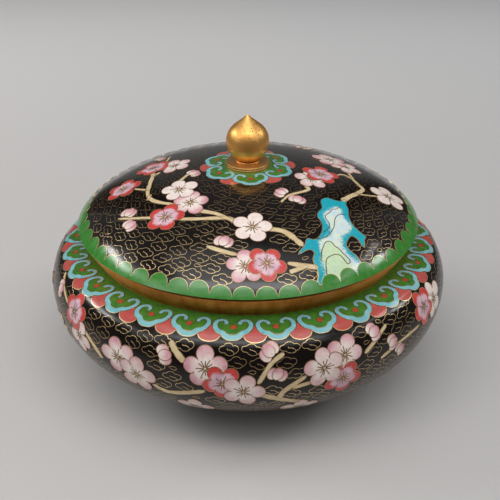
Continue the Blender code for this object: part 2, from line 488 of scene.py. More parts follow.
def unroll(piece, outline):
    """A map of a turned piece: once round it is its width, and its line is its height."""
    mesh = piece.data
    points = np.array(outline)
    steps = np.hypot(*np.diff(points, axis=0).T)
    along = np.concatenate([[0.0], np.cumsum(steps)]) / steps.sum()
    spots = np.empty(len(mesh.vertices) * 3)
    mesh.vertices.foreach_get("co", spots)
    spots = spots.reshape(-1, 3) / MM
    flat = np.stack([np.hypot(spots[:, 0], spots[:, 1]), spots[:, 2]], axis=1)
    share = np.array([along[np.argmin(((points - spot) ** 2).sum(axis=1))] for spot in flat])
    turn = np.arctan2(spots[:, 0], -spots[:, 1]) / (2 * math.pi) + 0.5
    layer = mesh.uv_layers.new(name="OFBake")
    for face in mesh.polygons:
        middle = math.atan2(face.center.x, -face.center.y) / (2 * math.pi) + 0.5
        top = max(share[vertex] for vertex in face.vertices)
        for loop in face.loop_indices:
            vertex = mesh.loops[loop].vertex_index
            across = turn[vertex] if flat[vertex, 0] > 0.01 else middle
            across += round(middle - across)
            up = 1.0 if share[vertex] == 0.0 and top > 0.6 else share[vertex]
            layer.data[loop].uv = (across, up)


print("a piece is turned with", "extrude, spin, merge and recalculated normals")

# %% [markdown]
# ## Enamel and brass
#
# Enamel is ground glass, so a cell is never one even colour: it has soft clouds from the
# firing, single grains, and small pits where a bubble opened when it was polished. The gloss is
# high, and a little unevenness of the hand polishing breaks the edges of the reflections.


# %% Enamel
def glaze(made, colour, clouds, pit=0.0, roughness=0.11):
    """Gives a finish its colour and gloss, and the slight waves that a hand-held stone leaves."""
    waves = made.grain(7.0, 2.0) + made.grain(1.7, 1.0) * 0.22
    made.set(
        Base_Color=colour,
        Roughness=roughness + clouds * 0.07 + pit * 0.3,
        Normal=made.bump(waves, 0.02),
    )
    return made.material


def enamel(name, colour, mottle, pits=0.1, grains=0.35, roughness=0.11, shine=0.6, wax=0.0):
    """Polished glass of one colour, mottled towards another, with dark pits."""
    made = Finish(name)
    clouds = made.grain(2.4, 3.0).ramp(0.3, 0.75)
    powder = made.grain(0.3, 1.0).ramp(0.45, 0.75)
    body = made.blend(clouds * (1 - grains) + powder * grains, colour, mottle)
    pit = made.specks(2.3, 0.22, pits)
    made.set(Specular_IOR_Level=shine, Coat_Weight=wax, Coat_IOR=1.3, Coat_Roughness=0.12)
    return glaze(made, made.blend(pit * 0.85, body, paint(28, 22, 20)), clouds, pit, roughness)


ground = dict(pits=0.03, grains=0.2, roughness=0.15)
black_enamel = enamel("black_enamel", paint(14, 8, 7), paint(22, 13, 11), **ground, shine=0.3, wax=1.0)
# Painted shade: the bowl's black is a shaded copy of the lid's, a tick darker and with no wax coat.
deep_enamel = enamel("deep_black_enamel", paint(13, 7, 6), paint(21, 12, 10), **ground, shine=0.33)
green_enamel = enamel("green_enamel", paint(72, 128, 46), paint(46, 98, 36), pits=0.2)
scallop_enamel = enamel(
    "scallop_enamel", paint(44, 120, 34), paint(76, 148, 60), pits=0.5, grains=0.6, roughness=0.17
)
turquoise_enamel = enamel("turquoise_enamel", paint(134, 192, 196), paint(104, 170, 180), pits=0.14)
coral_enamel = enamel("coral_enamel", paint(190, 86, 78), paint(168, 72, 66), pits=0.14)
red_enamel = enamel("red_enamel", paint(178, 80, 52), paint(152, 62, 44))
branch_enamel = enamel("branch_enamel", paint(222, 200, 160), paint(200, 172, 130), pits=0.4)
lining_enamel = enamel("lining_enamel", paint(62, 150, 168), paint(46, 132, 154), pits=0.08)
print("enamels:", ", ".join(m.name for m in bpy.data.materials if "enamel" in m.name))

# %% [markdown]
# Brass differs by place. The neck band was brushed upright and has browned, and its left and
# right are painted lighter, as painted light. The lid's edge is dark brass with painted light at
# its left and right. The wires were gilded and lie nearly level with the glass, under its wax.
# The bud was turned and polished, so its marks run round it, with small dark pits near its
# point, and its disc is painted in a paler, duller copy of the same brass, to offset the orange
# light that bud and disc throw on each other.


# %% Brass
PITTED_FROM = 93.5 * MM
PITTED_ABOVE = 96.5 * MM
PAINTED_LIGHT_FROM = 22.0 * MM
PAINTED_LIGHT_BEYOND = 48.0 * MM


def brass(
    name, light, dark, roughness, metallic=1.0,
    upright_marks=0.0, round_marks=0.0, pits=0.0, sides=None, **more,
):
    """Brass with tarnish and, where asked, marks up or round it, pits, and painted light: a lighter colour
    at its left and right.
    """
    made = Finish(name)
    x, y, z = made.axes()
    turn = made.maths("ARCTAN2", x, y * -1.0)
    tarnish = made.grain(9.0, 4.0).ramp(0.35, 0.72)
    fine = made.grain(0.5, 2.0)
    height = fine * 0.15
    streak = fine * 0.2
    if upright_marks:
        marks = made.streaks(turn * 150.0, z * 90.0, 3.0)
        patches = made.streaks(turn * 26.0, z * 40.0, 2.0)
        height = height + marks * upright_marks
        streak = streak + marks.ramp(0.35, 0.7) * 0.4 + patches.ramp(0.4, 0.65) * 0.6
    if round_marks:
        marks = made.streaks(turn * 0.6, z / (0.35 * MM), 2.0)
        height = height + marks * round_marks
        streak = streak + marks.ramp(0.4, 0.7) * 0.2
    colour = made.blend(tarnish * 0.6 + streak * 0.5, light, dark)
    if pits:
        pit = made.specks(0.8, 0.22, pits) * z.ramp(PITTED_FROM, PITTED_ABOVE)
        colour = made.blend(pit * 0.9, colour, paint(72, 40, 18))
        height = height - pit * 1.5
    # Painted light: where asked, the piece's left and right are painted in a lighter colour.
    if sides:
        beside = made.maths("ABSOLUTE", x).ramp(PAINTED_LIGHT_FROM, PAINTED_LIGHT_BEYOND)
        colour = made.blend(beside, colour, sides)
    worn = roughness + tarnish * 0.08 + streak * 0.06
    made.set(Base_Color=colour, Metallic=metallic, Roughness=worn, Normal=made.bump(height, 0.02), **more)
    return made.material


# The neck band and the foot: brushed, browned brass with painted light at the left and right.
brushed_brass = brass(
    "brushed_brass", paint(244, 158, 76), paint(190, 102, 36), 0.44, 0.88,
    upright_marks=1.0, sides=paint(255, 164, 76),
)
# The lid's edge: dark brass, with painted light at its left and right.
edge_brass_painted_light = brass(
    "edge_brass_painted_light", paint(110, 76, 46), paint(70, 48, 32), 0.5, 0.7,
    upright_marks=0.5, sides=paint(244, 184, 120),
)
turned_brass = brass(
    "turned_brass", paint(250, 192, 110), paint(208, 142, 66), 0.38, 0.96, round_marks=0.25, pits=1.0
)
# The disc: a paler, duller copy of the bud's brass, painted to offset the orange light that bud and disc
# throw on each other.
disc_brass = brass("disc_brass", paint(222, 180, 112), paint(166, 126, 72), 0.36, 0.85, round_marks=0.3)
wire_gilt = brass(
    "wire_gilt", paint(206, 178, 126), paint(176, 146, 98), 0.34,
    Specular_Tint=paint(120, 100, 80), Coat_Weight=1.0, Coat_IOR=1.4, Coat_Roughness=0.15,
)
print("brasses:", brushed_brass.name, turned_brass.name, wire_gilt.name)

# %% [markdown]
# ## The bowl and the lid
#
# Both are hollow, with walls like the solids. The glass outside is black. The level shelf
# under the lid belongs to the green collar, and so does the middle of the lid round the knob,
# so those rings of faces get green enamel. What the photograph hides, the inside and the
# underside, is lined with plain turquoise, as such boxes are.

# %% The two shells
SHELL_FACETS = 240
BASE_FLAT = 18.0
LINED_BELOW = 3.2
COLLAR_EDGE = 65.6
LID_COLLAR_EDGE = 11.4
CAVITY_MIDDLE = Vector((0.0, 0.0, 30.0 * MM))


def dress_shell(shell, black, ring, lining_test):
    """Black outside, green on the faces within ring = (inner, outer) radius, lined inside."""
    for finish in (black, green_enamel, lining_enamel):
        shell.data.materials.append(finish)
    for face in shell.data.polygons:
        radius = math.hypot(face.center.x, face.center.y) / MM
        if lining_test(face):
            face.material_index = 2
        elif ring[0] < radius < ring[1] and face.normal.z > 0.9:
            face.material_index = 1


def stands_for(piece, slot, *nodes):
    """Puts a piece on the dish: it rides on it and replaces its solids; slot is not used."""
    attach(piece, "root")
    if nodes:
        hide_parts(*nodes)


mouth = (MOUTH_RADIUS, SHOULDER_HEIGHT)
outer = [mouth] + line((NECK_FOOT_RADIUS, SHOULDER_HEIGHT), (COLLAR_EDGE, SHOULDER_HEIGHT), 5)
outer += bowl_line(0.0, 1.0) + [(BASE_FLAT, BASE_HEIGHT), (0.0, BASE_HEIGHT)]
inner = [(0.0, BASE_HEIGHT + BOWL_WALL), (BASE_FLAT, BASE_HEIGHT + BOWL_WALL)]
inner += bowl_line(BOWL_WALL, 0.5)[::-1] + [(MOUTH_RADIUS, SHOULDER_HEIGHT - BOWL_WALL)]
bowl = turned("bowl_shell", inner + outer, SHELL_FACETS)
dress_shell(
    bowl,
    deep_enamel,
    (MOUTH_RADIUS, COLLAR_EDGE),
    lambda face: face.normal.dot(face.center - CAVITY_MIDDLE) < 0 or face.center.z < LINED_BELOW * MM,
)
stands_for(bowl, "bowl_enamel", "bowl_body")

lid = turned("lid_dome", lid_line(0.0, 1.0) + lid_line(LID_WALL, 0.5)[::-1], SHELL_FACETS)
dress_shell(lid, black_enamel, (0.0, LID_COLLAR_EDGE), lambda face: face.normal.z < 0)
stands_for(lid, "lid_enamel", "lid_shell")
print("bowl faces:", len(bowl.data.polygons), "lid faces:", len(lid.data.polygons))

# %% [markdown]
# ## The brass rings
#
# The foot is a plain ring. The neck is a flared band, very slightly bulged, with a sharp lip,
# and the lid's edge is a thin brass flange with a ring that drops inside the neck. The solids
# leave a hair's gap between pieces. Here each ring reaches into the enamel, so no light shows
# through.

# %% The foot, the neck and the lid's edge
FOOT_FACETS = 180
FOOT_RADIUS = 36.0
FOOT_INNER = 33.5
FOOT_TOP = 3.3
NECK_ROOT_HEIGHT = 54.7
NECK_FOOT_HEIGHT = 55.3
NECK_FLARE_HEIGHT = 62.8
NECK_TOP_HEIGHT = 62.95
NECK_TOP_RADIUS = 63.594
NECK_BULGE = 1.1
NECK_WALL = 1.3
RIM_FOOT_HEIGHT = 59.5
RIM_HEIGHT = 63.7
SPIGOT_WALL = 1.0
SPIGOT_PLAY = 0.4
neck_rise = NECK_FLARE_HEIGHT - NECK_FOOT_HEIGHT


def rounded(corner, turn, start, end, steps=4):
    """A rounded corner of a section; the centre of its bend is given, the angles in degrees."""
    return bend(corner, turn, math.radians(start), math.radians(end), steps)


def ring(name, outline, facets, finish, node):
    """A turned ring that stands for one of the solids."""
    made = turned(name, outline, facets)
    made.data.materials.append(finish)
    stands_for(made, "band_brass", node)
    print(name, "is", round(made.dimensions.x / MM, 1), "mm across")


foot_line = [(FOOT_INNER, FOOT_TOP), (FOOT_RADIUS, FOOT_TOP)]
foot_line += rounded((FOOT_RADIUS - 0.5, 0.5), 0.5, 90, 180)
foot_line += rounded((FOOT_INNER + 0.4, 0.4), 0.4, 180, 270)
ring("foot_band", foot_line, FOOT_FACETS, brushed_brass, "foot_ring")

neck_line = [(NECK_FOOT_RADIUS - NECK_WALL, NECK_ROOT_HEIGHT), (NECK_FOOT_RADIUS + 0.1, NECK_ROOT_HEIGHT)]
flare_foot = (NECK_FOOT_RADIUS + 0.15, NECK_FOOT_HEIGHT)
flare_top = (NECK_TOP_RADIUS - 0.06, NECK_FLARE_HEIGHT)
for radius, height in line(flare_foot, flare_top, 9):
    rise = (height - NECK_FOOT_HEIGHT) / neck_rise
    neck_line.append((radius + NECK_BULGE * rise * (1.0 - rise), height))
neck_line += [(NECK_TOP_RADIUS - 0.1, NECK_TOP_HEIGHT), (NECK_TOP_RADIUS - NECK_WALL, NECK_TOP_HEIGHT)]
ring("neck_band", neck_line, SHELL_FACETS, brushed_brass, "neck_ring")

flare = (NECK_TOP_RADIUS - NECK_FOOT_RADIUS) / neck_rise
spigot = NECK_FOOT_RADIUS - NECK_WALL + flare * (RIM_FOOT_HEIGHT - NECK_FOOT_HEIGHT) - SPIGOT_PLAY
rim_line = [(spigot - SPIGOT_WALL, RIM_FOOT_HEIGHT), (spigot, RIM_FOOT_HEIGHT), (spigot, RIM_HEIGHT)]
rim_line += rounded((LID_RADIUS - 0.15, RIM_HEIGHT + 0.15), 0.15, 180, 90)
rim_line += rounded((LID_RADIUS - 0.15, LID_HEIGHT - 0.1), 0.15, 90, 10)
rim_line += [(LID_RADIUS - 1.6, LID_HEIGHT + 0.1), (spigot - SPIGOT_WALL, LID_HEIGHT + 0.1)]
ring("lid_edge", rim_line, SHELL_FACETS, edge_brass_painted_light, "lid_rim")

# %% [markdown]
# ## The knob
#
# The bud is turned from one bar: a fine bezel, a disc with a soft edge, a short stalk and a
# round bud drawn up to a point. Its line is the most visible one of the dish, so each bend has
# enough points to mirror the lamps without corners.

# %% The bud, its disc and its bezel
KNOB_FACETS = 96
KNOB_SEAT = 84.003
BEZEL_RADIUS = 8.4
DISC_RADIUS = 8.2
STALK_RADIUS = 3.7
STALK_TOP = KNOB_SEAT + 1.7
DISC_TOP = KNOB_SEAT + 1.3
BUD_RADIUS = 8.0
BUD_SLOPE = math.radians(50.0)
TIP_RISE = 4.95
TIP_PULL = 1.8
TIP_STEPS = 12

under = math.pi - math.asin(STALK_RADIUS / BUD_RADIUS)
bud_centre = (0.0, STALK_TOP - BUD_RADIUS * math.cos(under))
knob_line = [(0.0, KNOB_SEAT - 0.6), (BEZEL_RADIUS, KNOB_SEAT - 0.6), (BEZEL_RADIUS, KNOB_SEAT + 0.1)]
knob_line += rounded((BEZEL_RADIUS - 0.15, KNOB_SEAT + 0.1), 0.15, 90, 0, 3)[1:]
knob_line += [(DISC_RADIUS - 0.3, KNOB_SEAT + 0.27), (DISC_RADIUS - 0.32, KNOB_SEAT + 0.42)]
knob_line += rounded((DISC_RADIUS - 0.3, KNOB_SEAT + 0.72), 0.3, 150, 10, 6)
knob_line += line((DISC_RADIUS - 0.6, KNOB_SEAT + 1.08), (STALK_RADIUS + 1.05, KNOB_SEAT + 1.18), 4)
knob_line += rounded((STALK_RADIUS + 0.6, KNOB_SEAT + 1.4), 0.32, 120, -20, 6)
knob_line += bend(bud_centre, BUD_RADIUS, under, BUD_SLOPE, 26)

bud_edge = knob_line[-1]
tip = (0.25, bud_edge[1] + TIP_RISE)
leave = (bud_edge[0] - math.cos(BUD_SLOPE) * TIP_PULL, bud_edge[1] + math.sin(BUD_SLOPE) * TIP_PULL)
arrive = (tip[0] + TIP_PULL * 0.8, tip[1] - TIP_PULL * 0.85)
for step in range(1, TIP_STEPS + 1):
    t = step / TIP_STEPS
    weights = ((1 - t) ** 3, 3 * t * (1 - t) ** 2, 3 * t * t * (1 - t), t**3)
    corners = (bud_edge, leave, arrive, tip)
    knob_line.append(tuple(sum(w * c[axis] for w, c in zip(weights, corners)) for axis in (0, 1)))
knob_line += [(0.12, tip[1] + 0.12), (0.0, tip[1] + 0.15)]

knob = turned("knob_bud", knob_line, KNOB_FACETS)
knob.data.materials.append(turned_brass)
knob.data.materials.append(disc_brass)
for face in knob.data.polygons:
    face.material_index = 1 if face.center.z < DISC_TOP * MM else 0
stands_for(knob, "knob_brass", "knob")
print("knob top at", round(knob_line[-1][1], 2), "mm")

# %% [markdown]
# ## Laying a flat pattern on a round face
#
# The enameller draws each flower and cloud flat, then bends the wire to it and presses it on
# the copper. It is done the same way here. Each cell and each wire is modelled once, flat and
# in millimetres. Then its copies are laid on the skin of the bowl or the lid: near any one
# place a round face is like a cone, and a cone can be rolled flat, so a flat shape is wrapped
# on that cone. Every copy is new points in the piece's own mesh. Thousands of copies made as
# separate objects would be slow, so their points are worked out as arrays.


# %% The skin of a turned shell
class Skin:
    """An outer face, by how far round it (radians) and how far down along it (mm)."""

    def __init__(self, outline):
        self.radius, self.height = np.array(outline).T
        steps = np.hypot(np.diff(self.radius), np.diff(self.height))
        self.down = np.concatenate([[0.0], np.cumsum(steps)])
        self.spread = np.gradient(self.radius, self.down)
        self.drop = np.gradient(self.height, self.down)

    def at(self, what, down):
        return np.interp(down, self.down, what)

    def point(self, around, down, lift):
        """Points in mm, raised off the skin by lift."""
        radius = self.at(self.radius, down) - self.at(self.drop, down) * lift
        height = self.at(self.height, down) + self.at(self.spread, down) * lift
        return np.stack([radius * np.sin(around), -radius * np.cos(around), height], axis=-1)

    def lay(self, plan, around, down, lift):
        """Wraps a flat plan, x to the right, y up the slope and z outwards, round a place."""
        x, y, z = np.asarray(plan, float).T
        radius = float(self.at(self.radius, down))
        spread = float(self.at(self.spread, down))
        if abs(spread) < 0.02:
            return self.point(around + x / radius, down - y, z + lift)
        reach = radius / spread
        side = math.copysign(1.0, reach)
        from_tip = side * np.hypot(x, reach - y)
        turn = np.arctan2(side * x, side * (reach - y)) / spread
        return self.point(around + turn, down + from_tip - reach, z + lift)


SHELF_END = 65.5
shelf = line((NECK_FOOT_RADIUS, SHOULDER_HEIGHT), (SHELF_END, SHOULDER_HEIGHT), 10)
bowl_skin = Skin(shelf + bowl_line(0.0, 5.0))
lid_skin = Skin(lid_line(0.0, 5.0))
print("bowl skin is", round(bowl_skin.down[-1], 1), "mm long, lid skin", round(lid_skin.down[-1], 1))

# %% [markdown]
# A cell is a filled outline. It is cut by a grid, so that it can bend with the copper, and its
# rim is drawn down into the ground so that no gap shows under it. A wire is a bent line with a
# flat-topped section, as it is after the polishing.


# %% Cells, modelled flat
SKIRT = 0.12


def cell(outline, step):
    """Points and faces of a flat filled outline, cut about every step mm, with a rim below."""
    bpy.ops.object.select_all(action="DESELECT")
    bpy.ops.mesh.primitive_circle_add(vertices=len(outline), fill_type="NGON")
    flat = bpy.context.object
    for vertex, (x, y) in zip(flat.data.vertices, outline):
        vertex.co = (x, y, 0.0)
    bpy.ops.object.mode_set(mode="EDIT")
    bpy.ops.mesh.select_mode(type="VERT")
    low, high = np.min(outline, axis=0), np.max(outline, axis=0)
    for axis in (0, 1):
        normal = (1, 0, 0) if axis == 0 else (0, 1, 0)
        count = math.ceil((high[axis] - low[axis]) / step)
        for cut in range(1, count):
            where = low[axis] + (high[axis] - low[axis]) * cut / count
            bpy.ops.mesh.select_all(action="SELECT")
            bpy.ops.mesh.bisect(plane_co=[part * where for part in normal], plane_no=normal)
    bpy.ops.mesh.select_all(action="SELECT")
    bpy.ops.mesh.remove_doubles(threshold=0.004)
    bpy.ops.mesh.region_to_loop()
    bpy.ops.mesh.extrude_edges_move(TRANSFORM_OT_translate={"value": (0.0, 0.0, -SKIRT)})
    bpy.ops.object.mode_set(mode="OBJECT")
    return taken(flat)


def taken(flat):
    """The points and faces of a flat model, faces up, and the model removed."""
    mesh = flat.data
    upwards = sum(face.normal.z * face.area for face in mesh.polygons)
    points = np.array([vertex.co[:] for vertex in mesh.vertices])
    faces = [tuple(face.vertices) if upwards > 0 else tuple(face.vertices)[::-1] for face in mesh.polygons]
    bpy.data.objects.remove(flat)
    return points, faces


# %% Wires, bent flat
FLAT_WIRE = ((-0.5, -0.12), (-0.36, 0.05), (0.36, 0.05), (0.5, -0.12))
FINE_WIRE = ((-0.5, -0.01), (0.0, 0.025), (0.5, -0.01))


def pick_out(made):
    """Selects one object and nothing else."""
    bpy.ops.object.select_all(action="DESELECT")
    made.select_set(True)
    bpy.context.view_layer.objects.active = made


def bent_wire(path, width, closed=True, section=FLAT_WIRE):
    """Points and faces of a wire bent along a path; its section is (share of width, height)."""
    curves = []
    for dimensions, points in (("2D", [(across * width, up) for across, up in section]), ("3D", path)):
        data = bpy.data.curves.new("wire", "CURVE")
        data.dimensions = dimensions
        spline = data.splines.new("POLY")
        spline.points.add(len(points) - 1)
        for point, (x, y) in zip(spline.points, points):
            point.co = (x, y, 0.0, 1.0)
        curves.append(added("wire", data))
    profile, wire = curves
    wire.data.splines[0].use_cyclic_u = closed
    wire.data.twist_mode = "Z_UP"
    wire.data.bevel_mode = "OBJECT"
    wire.data.bevel_object = profile
    pick_out(wire)
    bpy.ops.object.convert(target="MESH")
    bpy.data.curves.remove(profile.data)
    return taken(bpy.context.object)


print("a wire's section has", len(FLAT_WIRE), "points, a fine one's", len(FINE_WIRE))

# %% [markdown]
# The outlines are made of a few kinds of line: a smooth line through given points, a band of
# changing width round such a line, and a circle.


# %% Outlines
def smooth(points, steps, closed=False):
    """A soft line through the points, with so many steps between two."""
    points = [np.array(point, float) for point in points]
    count = len(points)
    spans = range(count) if closed else range(count - 1)
    pick = lambda i: points[i % count] if closed else points[min(max(i, 0), count - 1)]
    line_points = []
    for span in spans:
        a, b, c, d = (pick(span + shift) for shift in (-1, 0, 1, 2))
        for step in range(steps):
            t = step / steps
            bow = 2 * b + (c - a) * t + (2 * a - 5 * b + 4 * c - d) * t**2 + (3 * b - a - 3 * c + d) * t**3
            line_points.append(bow * 0.5)
    if not closed:
        line_points.append(points[-1])
    return np.array(line_points)


def band(path, widths):
    """The outline of a band round a path, with round ends; widths are at the path's points."""
    path = np.asarray(path, float)
    along = np.gradient(path, axis=0)
    along /= np.hypot(along[:, 0], along[:, 1])[:, None]
    side = np.stack([-along[:, 1], along[:, 0]], axis=1) * (np.asarray(widths) / 2)[:, None]
    last = [path[-1] + along[-1] * widths[-1] * 0.35 + side[-1] * share for share in (-0.6, 0.0, 0.6)]
    first = [path[0] - along[0] * widths[0] * 0.35 + side[0] * share for share in (0.6, 0.0, -0.6)]
    return np.concatenate([path - side, last, (path + side)[::-1], first])


def circle(radius, steps, squash=1.0):
    """Points of a circle or an oval."""
    turns = [2 * math.pi * step / steps for step in range(steps)]
    return [(radius * math.cos(a), radius * squash * math.sin(a)) for a in turns]


print("a soft line through 3 points in 4 steps has", len(smooth([(0, 0), (1, 1), (2, 0)], 4)), "points")

# %% [markdown]
# An inlay gathers all copies that belong to one piece. Each copy can carry marks, values that
# its finish reads, such as how far a petal's point is from the flower's heart.


# %% One piece made of many copies
class Inlay:
    """Collects laid shapes and makes them one mesh."""

    def __init__(self, skin):
        self.skin = skin
        self.points, self.faces, self.finishes = [], [], []
        self.marks = {}
        self.count = 0

    def add(self, shape, around, down, turn=0.0, size=1.0, lift=0.0, finish=0, **marks):
        """Lays one shape: around and turn in degrees, down and lift in mm."""
        points, faces = shape
        wide, high = (size, size) if np.isscalar(size) else size
        x, y, z = (points * np.array([wide, high, 1.0])).T
        c, s = math.cos(math.radians(turn)), math.sin(math.radians(turn))
        plan = np.stack([c * x - s * y, s * x + c * y, z], axis=1)
        self.put(self.skin.lay(plan, math.radians(around), down, lift), faces, finish, **marks)

    def put(self, points, faces, finish=0, **marks):
        """Adds points that are in place already."""
        self.points.append(points)
        self.faces += [tuple(self.count + corner for corner in face) for face in faces]
        self.finishes += [finish] * len(faces)
        for name, value in marks.items():
            self.marks.setdefault(name, []).append(np.broadcast_to(value, len(points)))
        self.count += len(points)

    def piece(self, name, *finishes):
        """The mesh of all copies, with its finishes and marks; its name starts with its owner."""
        mesh = bpy.data.meshes.new(name)
        mesh.from_pydata((np.concatenate(self.points) * MM).tolist(), [], self.faces)
        mesh.polygons.foreach_set("material_index", self.finishes)
        for mark, values in self.marks.items():
            layer = mesh.attributes.new(mark, "FLOAT", "POINT")
            layer.data.foreach_set("value", np.concatenate(values).astype(np.float32))
        for finish in finishes:
            mesh.materials.append(finish)
        made = added(name, mesh)
        pick_out(made)
        bpy.ops.object.shade_smooth_by_angle(angle=math.radians(50.0))
        stands_for(made, name.split("_")[0] + "_enamel")
        print(name, "has", sum(len(face) - 2 for face in self.faces), "triangles")


# %% [markdown]
# ## The collars
#
# Both collars are the common border of ruyi heads: a turquoise band that curls in at its two
# ends, on green, with a red dot in its middle and a coral fan between two heads. Thirty stand
# round the bowl's shoulder and six round the knob.

# %% A ruyi head
HEAD_LINE = [
    (0, -4.25), (1.4, -4.1), (2.5, -3.35), (3.15, -2.45), (4.3, -1.95), (5.25, -0.9), (5.7, 0.6),
    (5.6, 2.1), (4.95, 3.35), (3.8, 3.9), (2.75, 3.5), (2.15, 2.6), (2.25, 1.9),
]
HEAD_STEPS = 3
HEAD_WIDTHS = [1.95, 1.9, 1.85, 1.8, 1.75, 1.7, 1.65, 1.6, 1.5, 1.4, 1.35, 1.4, 1.5]

half_line = smooth(HEAD_LINE, HEAD_STEPS)
half_widths = np.interp(np.arange(len(half_line)) / HEAD_STEPS, range(len(HEAD_WIDTHS)), HEAD_WIDTHS)
head_line = np.concatenate([half_line[:0:-1] * [-1, 1], half_line])
head_widths = np.concatenate([half_widths[:0:-1], half_widths])
head_outline = band(head_line, head_widths)
head_band = cell(head_outline, 1.1)
head_wire = bent_wire(head_outline, width=0.25)
head_ground = cell(head_line[4:-4], 1.3)
head_dot = cell(circle(1.05, 12), 1.2)
head_ring = bent_wire(circle(1.1, 14), width=0.24)

FAN = [(0.0, 2.7), (-1.6, 1.2), (-3.1, -0.6), (-3.65, -1.7), (-2.9, -2.95), (-1.6, -3.65), (0.0, -3.9)]
FAN += [(-x, y) for x, y in FAN[5:0:-1]]
fan_line = smooth(FAN, 2, closed=True)
fan = cell(fan_line, 1.2)
fan_wire = bent_wire(smooth(FAN[3:10], 3), width=0.33, closed=False)
print("a ruyi head has", len(head_band[1]) + len(head_ground[1]) + len(head_wire[1]), "faces")


# %% Both collars
BOWL_HEADS = 30
LID_HEADS = 6
FAN_DROP = 2.05


def collar(owner, skin, heads, first, down, size):
    """Lays a ring of heads on a skin: cells in one piece, wires in another."""
    cells, wires = Inlay(skin), Inlay(skin)
    rng = np.random.default_rng(heads)
    pitch = 360.0 / heads
    for head in range(heads):
        around = first + head * pitch
        lean, drop = rng.normal(0, 1.6), rng.normal(0, 0.12)
        place = dict(around=around + pitch / 2, down=down + FAN_DROP * size[1], size=size)
        cells.add(fan, **place, lift=0.04, finish=2)
        wires.add(fan_wire, **place, lift=0.05)
        place = dict(around=around, down=down + drop, turn=lean, size=size)
        cells.add(head_ground, **place, lift=0.08, finish=1)
        cells.add(head_band, **place, lift=0.12, finish=0)
        wires.add(head_wire, **place, lift=0.13)
        place = dict(around=around + rng.normal(0, 0.2), down=down + drop, size=size)
        cells.add(head_dot, **place, lift=0.12, finish=3)
        wires.add(head_ring, **place, lift=0.13)
    cells.piece(owner + "_collar", turquoise_enamel, green_enamel, coral_enamel, red_enamel)
    wires.piece(owner + "_collar_wires", wire_gilt)


collar("bowl", bowl_skin, BOWL_HEADS, first=7.7, down=7.4, size=(1.0, 1.0))
collar("lid", lid_skin, LID_HEADS, first=4.8, down=12.8, size=(1.0, 0.88))

# %% [markdown]
# ## The scallops
#
# A green border of scallops runs round the lid's edge. The maker set it by eye: it is narrow in
# front and wider towards the sides. It is one strip, so its top edge is pulled up into arcs, and
# a gilt wire follows it. Border, wires and twigs are all sheets of rows that follow a way over
# the skin, so they share one way of joining rows.


# %% Strips that follow a way
def wrapped(angle):
    """An angle in radians brought to within half a turn of 0."""
    return (angle + math.pi) % (2 * math.pi) - math.pi


def sheet_of(rows, closed=False):
    """Points and faces of a sheet whose rows all have the same number of points."""
    count = len(rows[0])
    faces = []
    for low in range(0, count * (len(rows) - 1), count):
        for spot in range(count if closed else count - 1):
            after = (spot + 1) % count
            faces.append((low + spot, low + after, low + count + after, low + count + spot))
    return np.concatenate(rows), faces


def shifted(skin, around, down, off, closed=False):
    """A way over the skin, moved sideways by off mm. Radians round it, mm down it."""
    if closed:
        step_x = wrapped(np.roll(around, -1) - np.roll(around, 1))
        step_y = np.roll(down, -1) - np.roll(down, 1)
    else:
        step_x, step_y = np.gradient(around), np.gradient(down)
    radius = skin.at(skin.radius, down)
    length = np.hypot(step_x * radius, step_y)
    return around + step_y / length * off / radius, down - step_x * radius / length * off


def strip_on(skin, around, down, width, lanes, closed=False):
    """Points and faces of a strip; lanes are (share of the width, height in mm)."""
    rows = [skin.point(*shifted(skin, around, down, share * width, closed), up) for share, up in lanes]
    return sheet_of(rows, closed)


# %% The lid's scalloped border
SCALLOPS = 55
SCALLOP_FIRST = 1.95
SCALLOP_RISE = 3.7
SCALLOP_PARTS = 12
BORDER_ROWS = 7
BORDER_LIFT = 0.14
BORDER_TUCK = 0.08
BORDER_WIRE = 0.18
BORDER_LANES = ((-0.5, 0.01), (-0.36, 0.15), (0.36, 0.15), (0.5, 0.01))
# Degrees round, and the border's width there.
BORDER = [(-180, 2.5), (-90, 2.7), (-70, 2.5), (-57, 2.1), (-48, 1.5), (-35, 1.3), (-17, 1.8), (-11, 1.4)]
BORDER += [(-3, 0.7), (8, 0.6), (16, 0.9), (28, 1.6), (45, 1.7), (55, 1.5), (65, 2.1), (80, 2.7), (180, 2.5)]


def border_width(angle):
    """How wide the border is below its arcs, at angles in radians."""
    return np.interp(np.degrees(wrapped(angle)), *np.array(BORDER).T)


lid_end = lid_skin.down[-1]
steps = np.arange(SCALLOPS * SCALLOP_PARTS)
around = np.radians(SCALLOP_FIRST + 360.0 * steps / len(steps))
across = (steps % SCALLOP_PARTS) / SCALLOP_PARTS * 2.0 - 1.0
uneven = np.repeat(np.random.default_rng(5).normal(1.0, 0.06, SCALLOPS), SCALLOP_PARTS)
top = lid_end - border_width(around) - SCALLOP_RISE * uneven * np.sqrt(1.0 - across**2)
shares = np.linspace(1.0, 0.0, BORDER_ROWS)
rows = [lid_skin.point(around, top + (lid_end - top) * share, BORDER_LIFT) for share in shares]
rows.append(lid_skin.point(around, top, -BORDER_TUCK))

border = Inlay(lid_skin)
border.put(*sheet_of(rows, closed=True))
border.piece("lid_scallops", scallop_enamel)
border_wire = Inlay(lid_skin)
border_wire.put(*strip_on(lid_skin, around, top, BORDER_WIRE, BORDER_LANES, closed=True))
border_wire.piece("lid_lines", wire_gilt)
print("scallops:", SCALLOPS)

# %% [markdown]
# ## The rock
#
# A garden rock stands at the right of the lid, on the scalloped border. Its glass runs from
# turquoise at the rim to a pale, speckled middle, without a wire between, because the wet
# powders were laid side by side. So each point of its mesh carries how far inside the pale
# parts it lies, and the finish mixes the colours by that. Dark wires draw its folds.

# %% The rock's lines
ROCK_AROUND = 38.0
ROCK_DOWN = 51.0
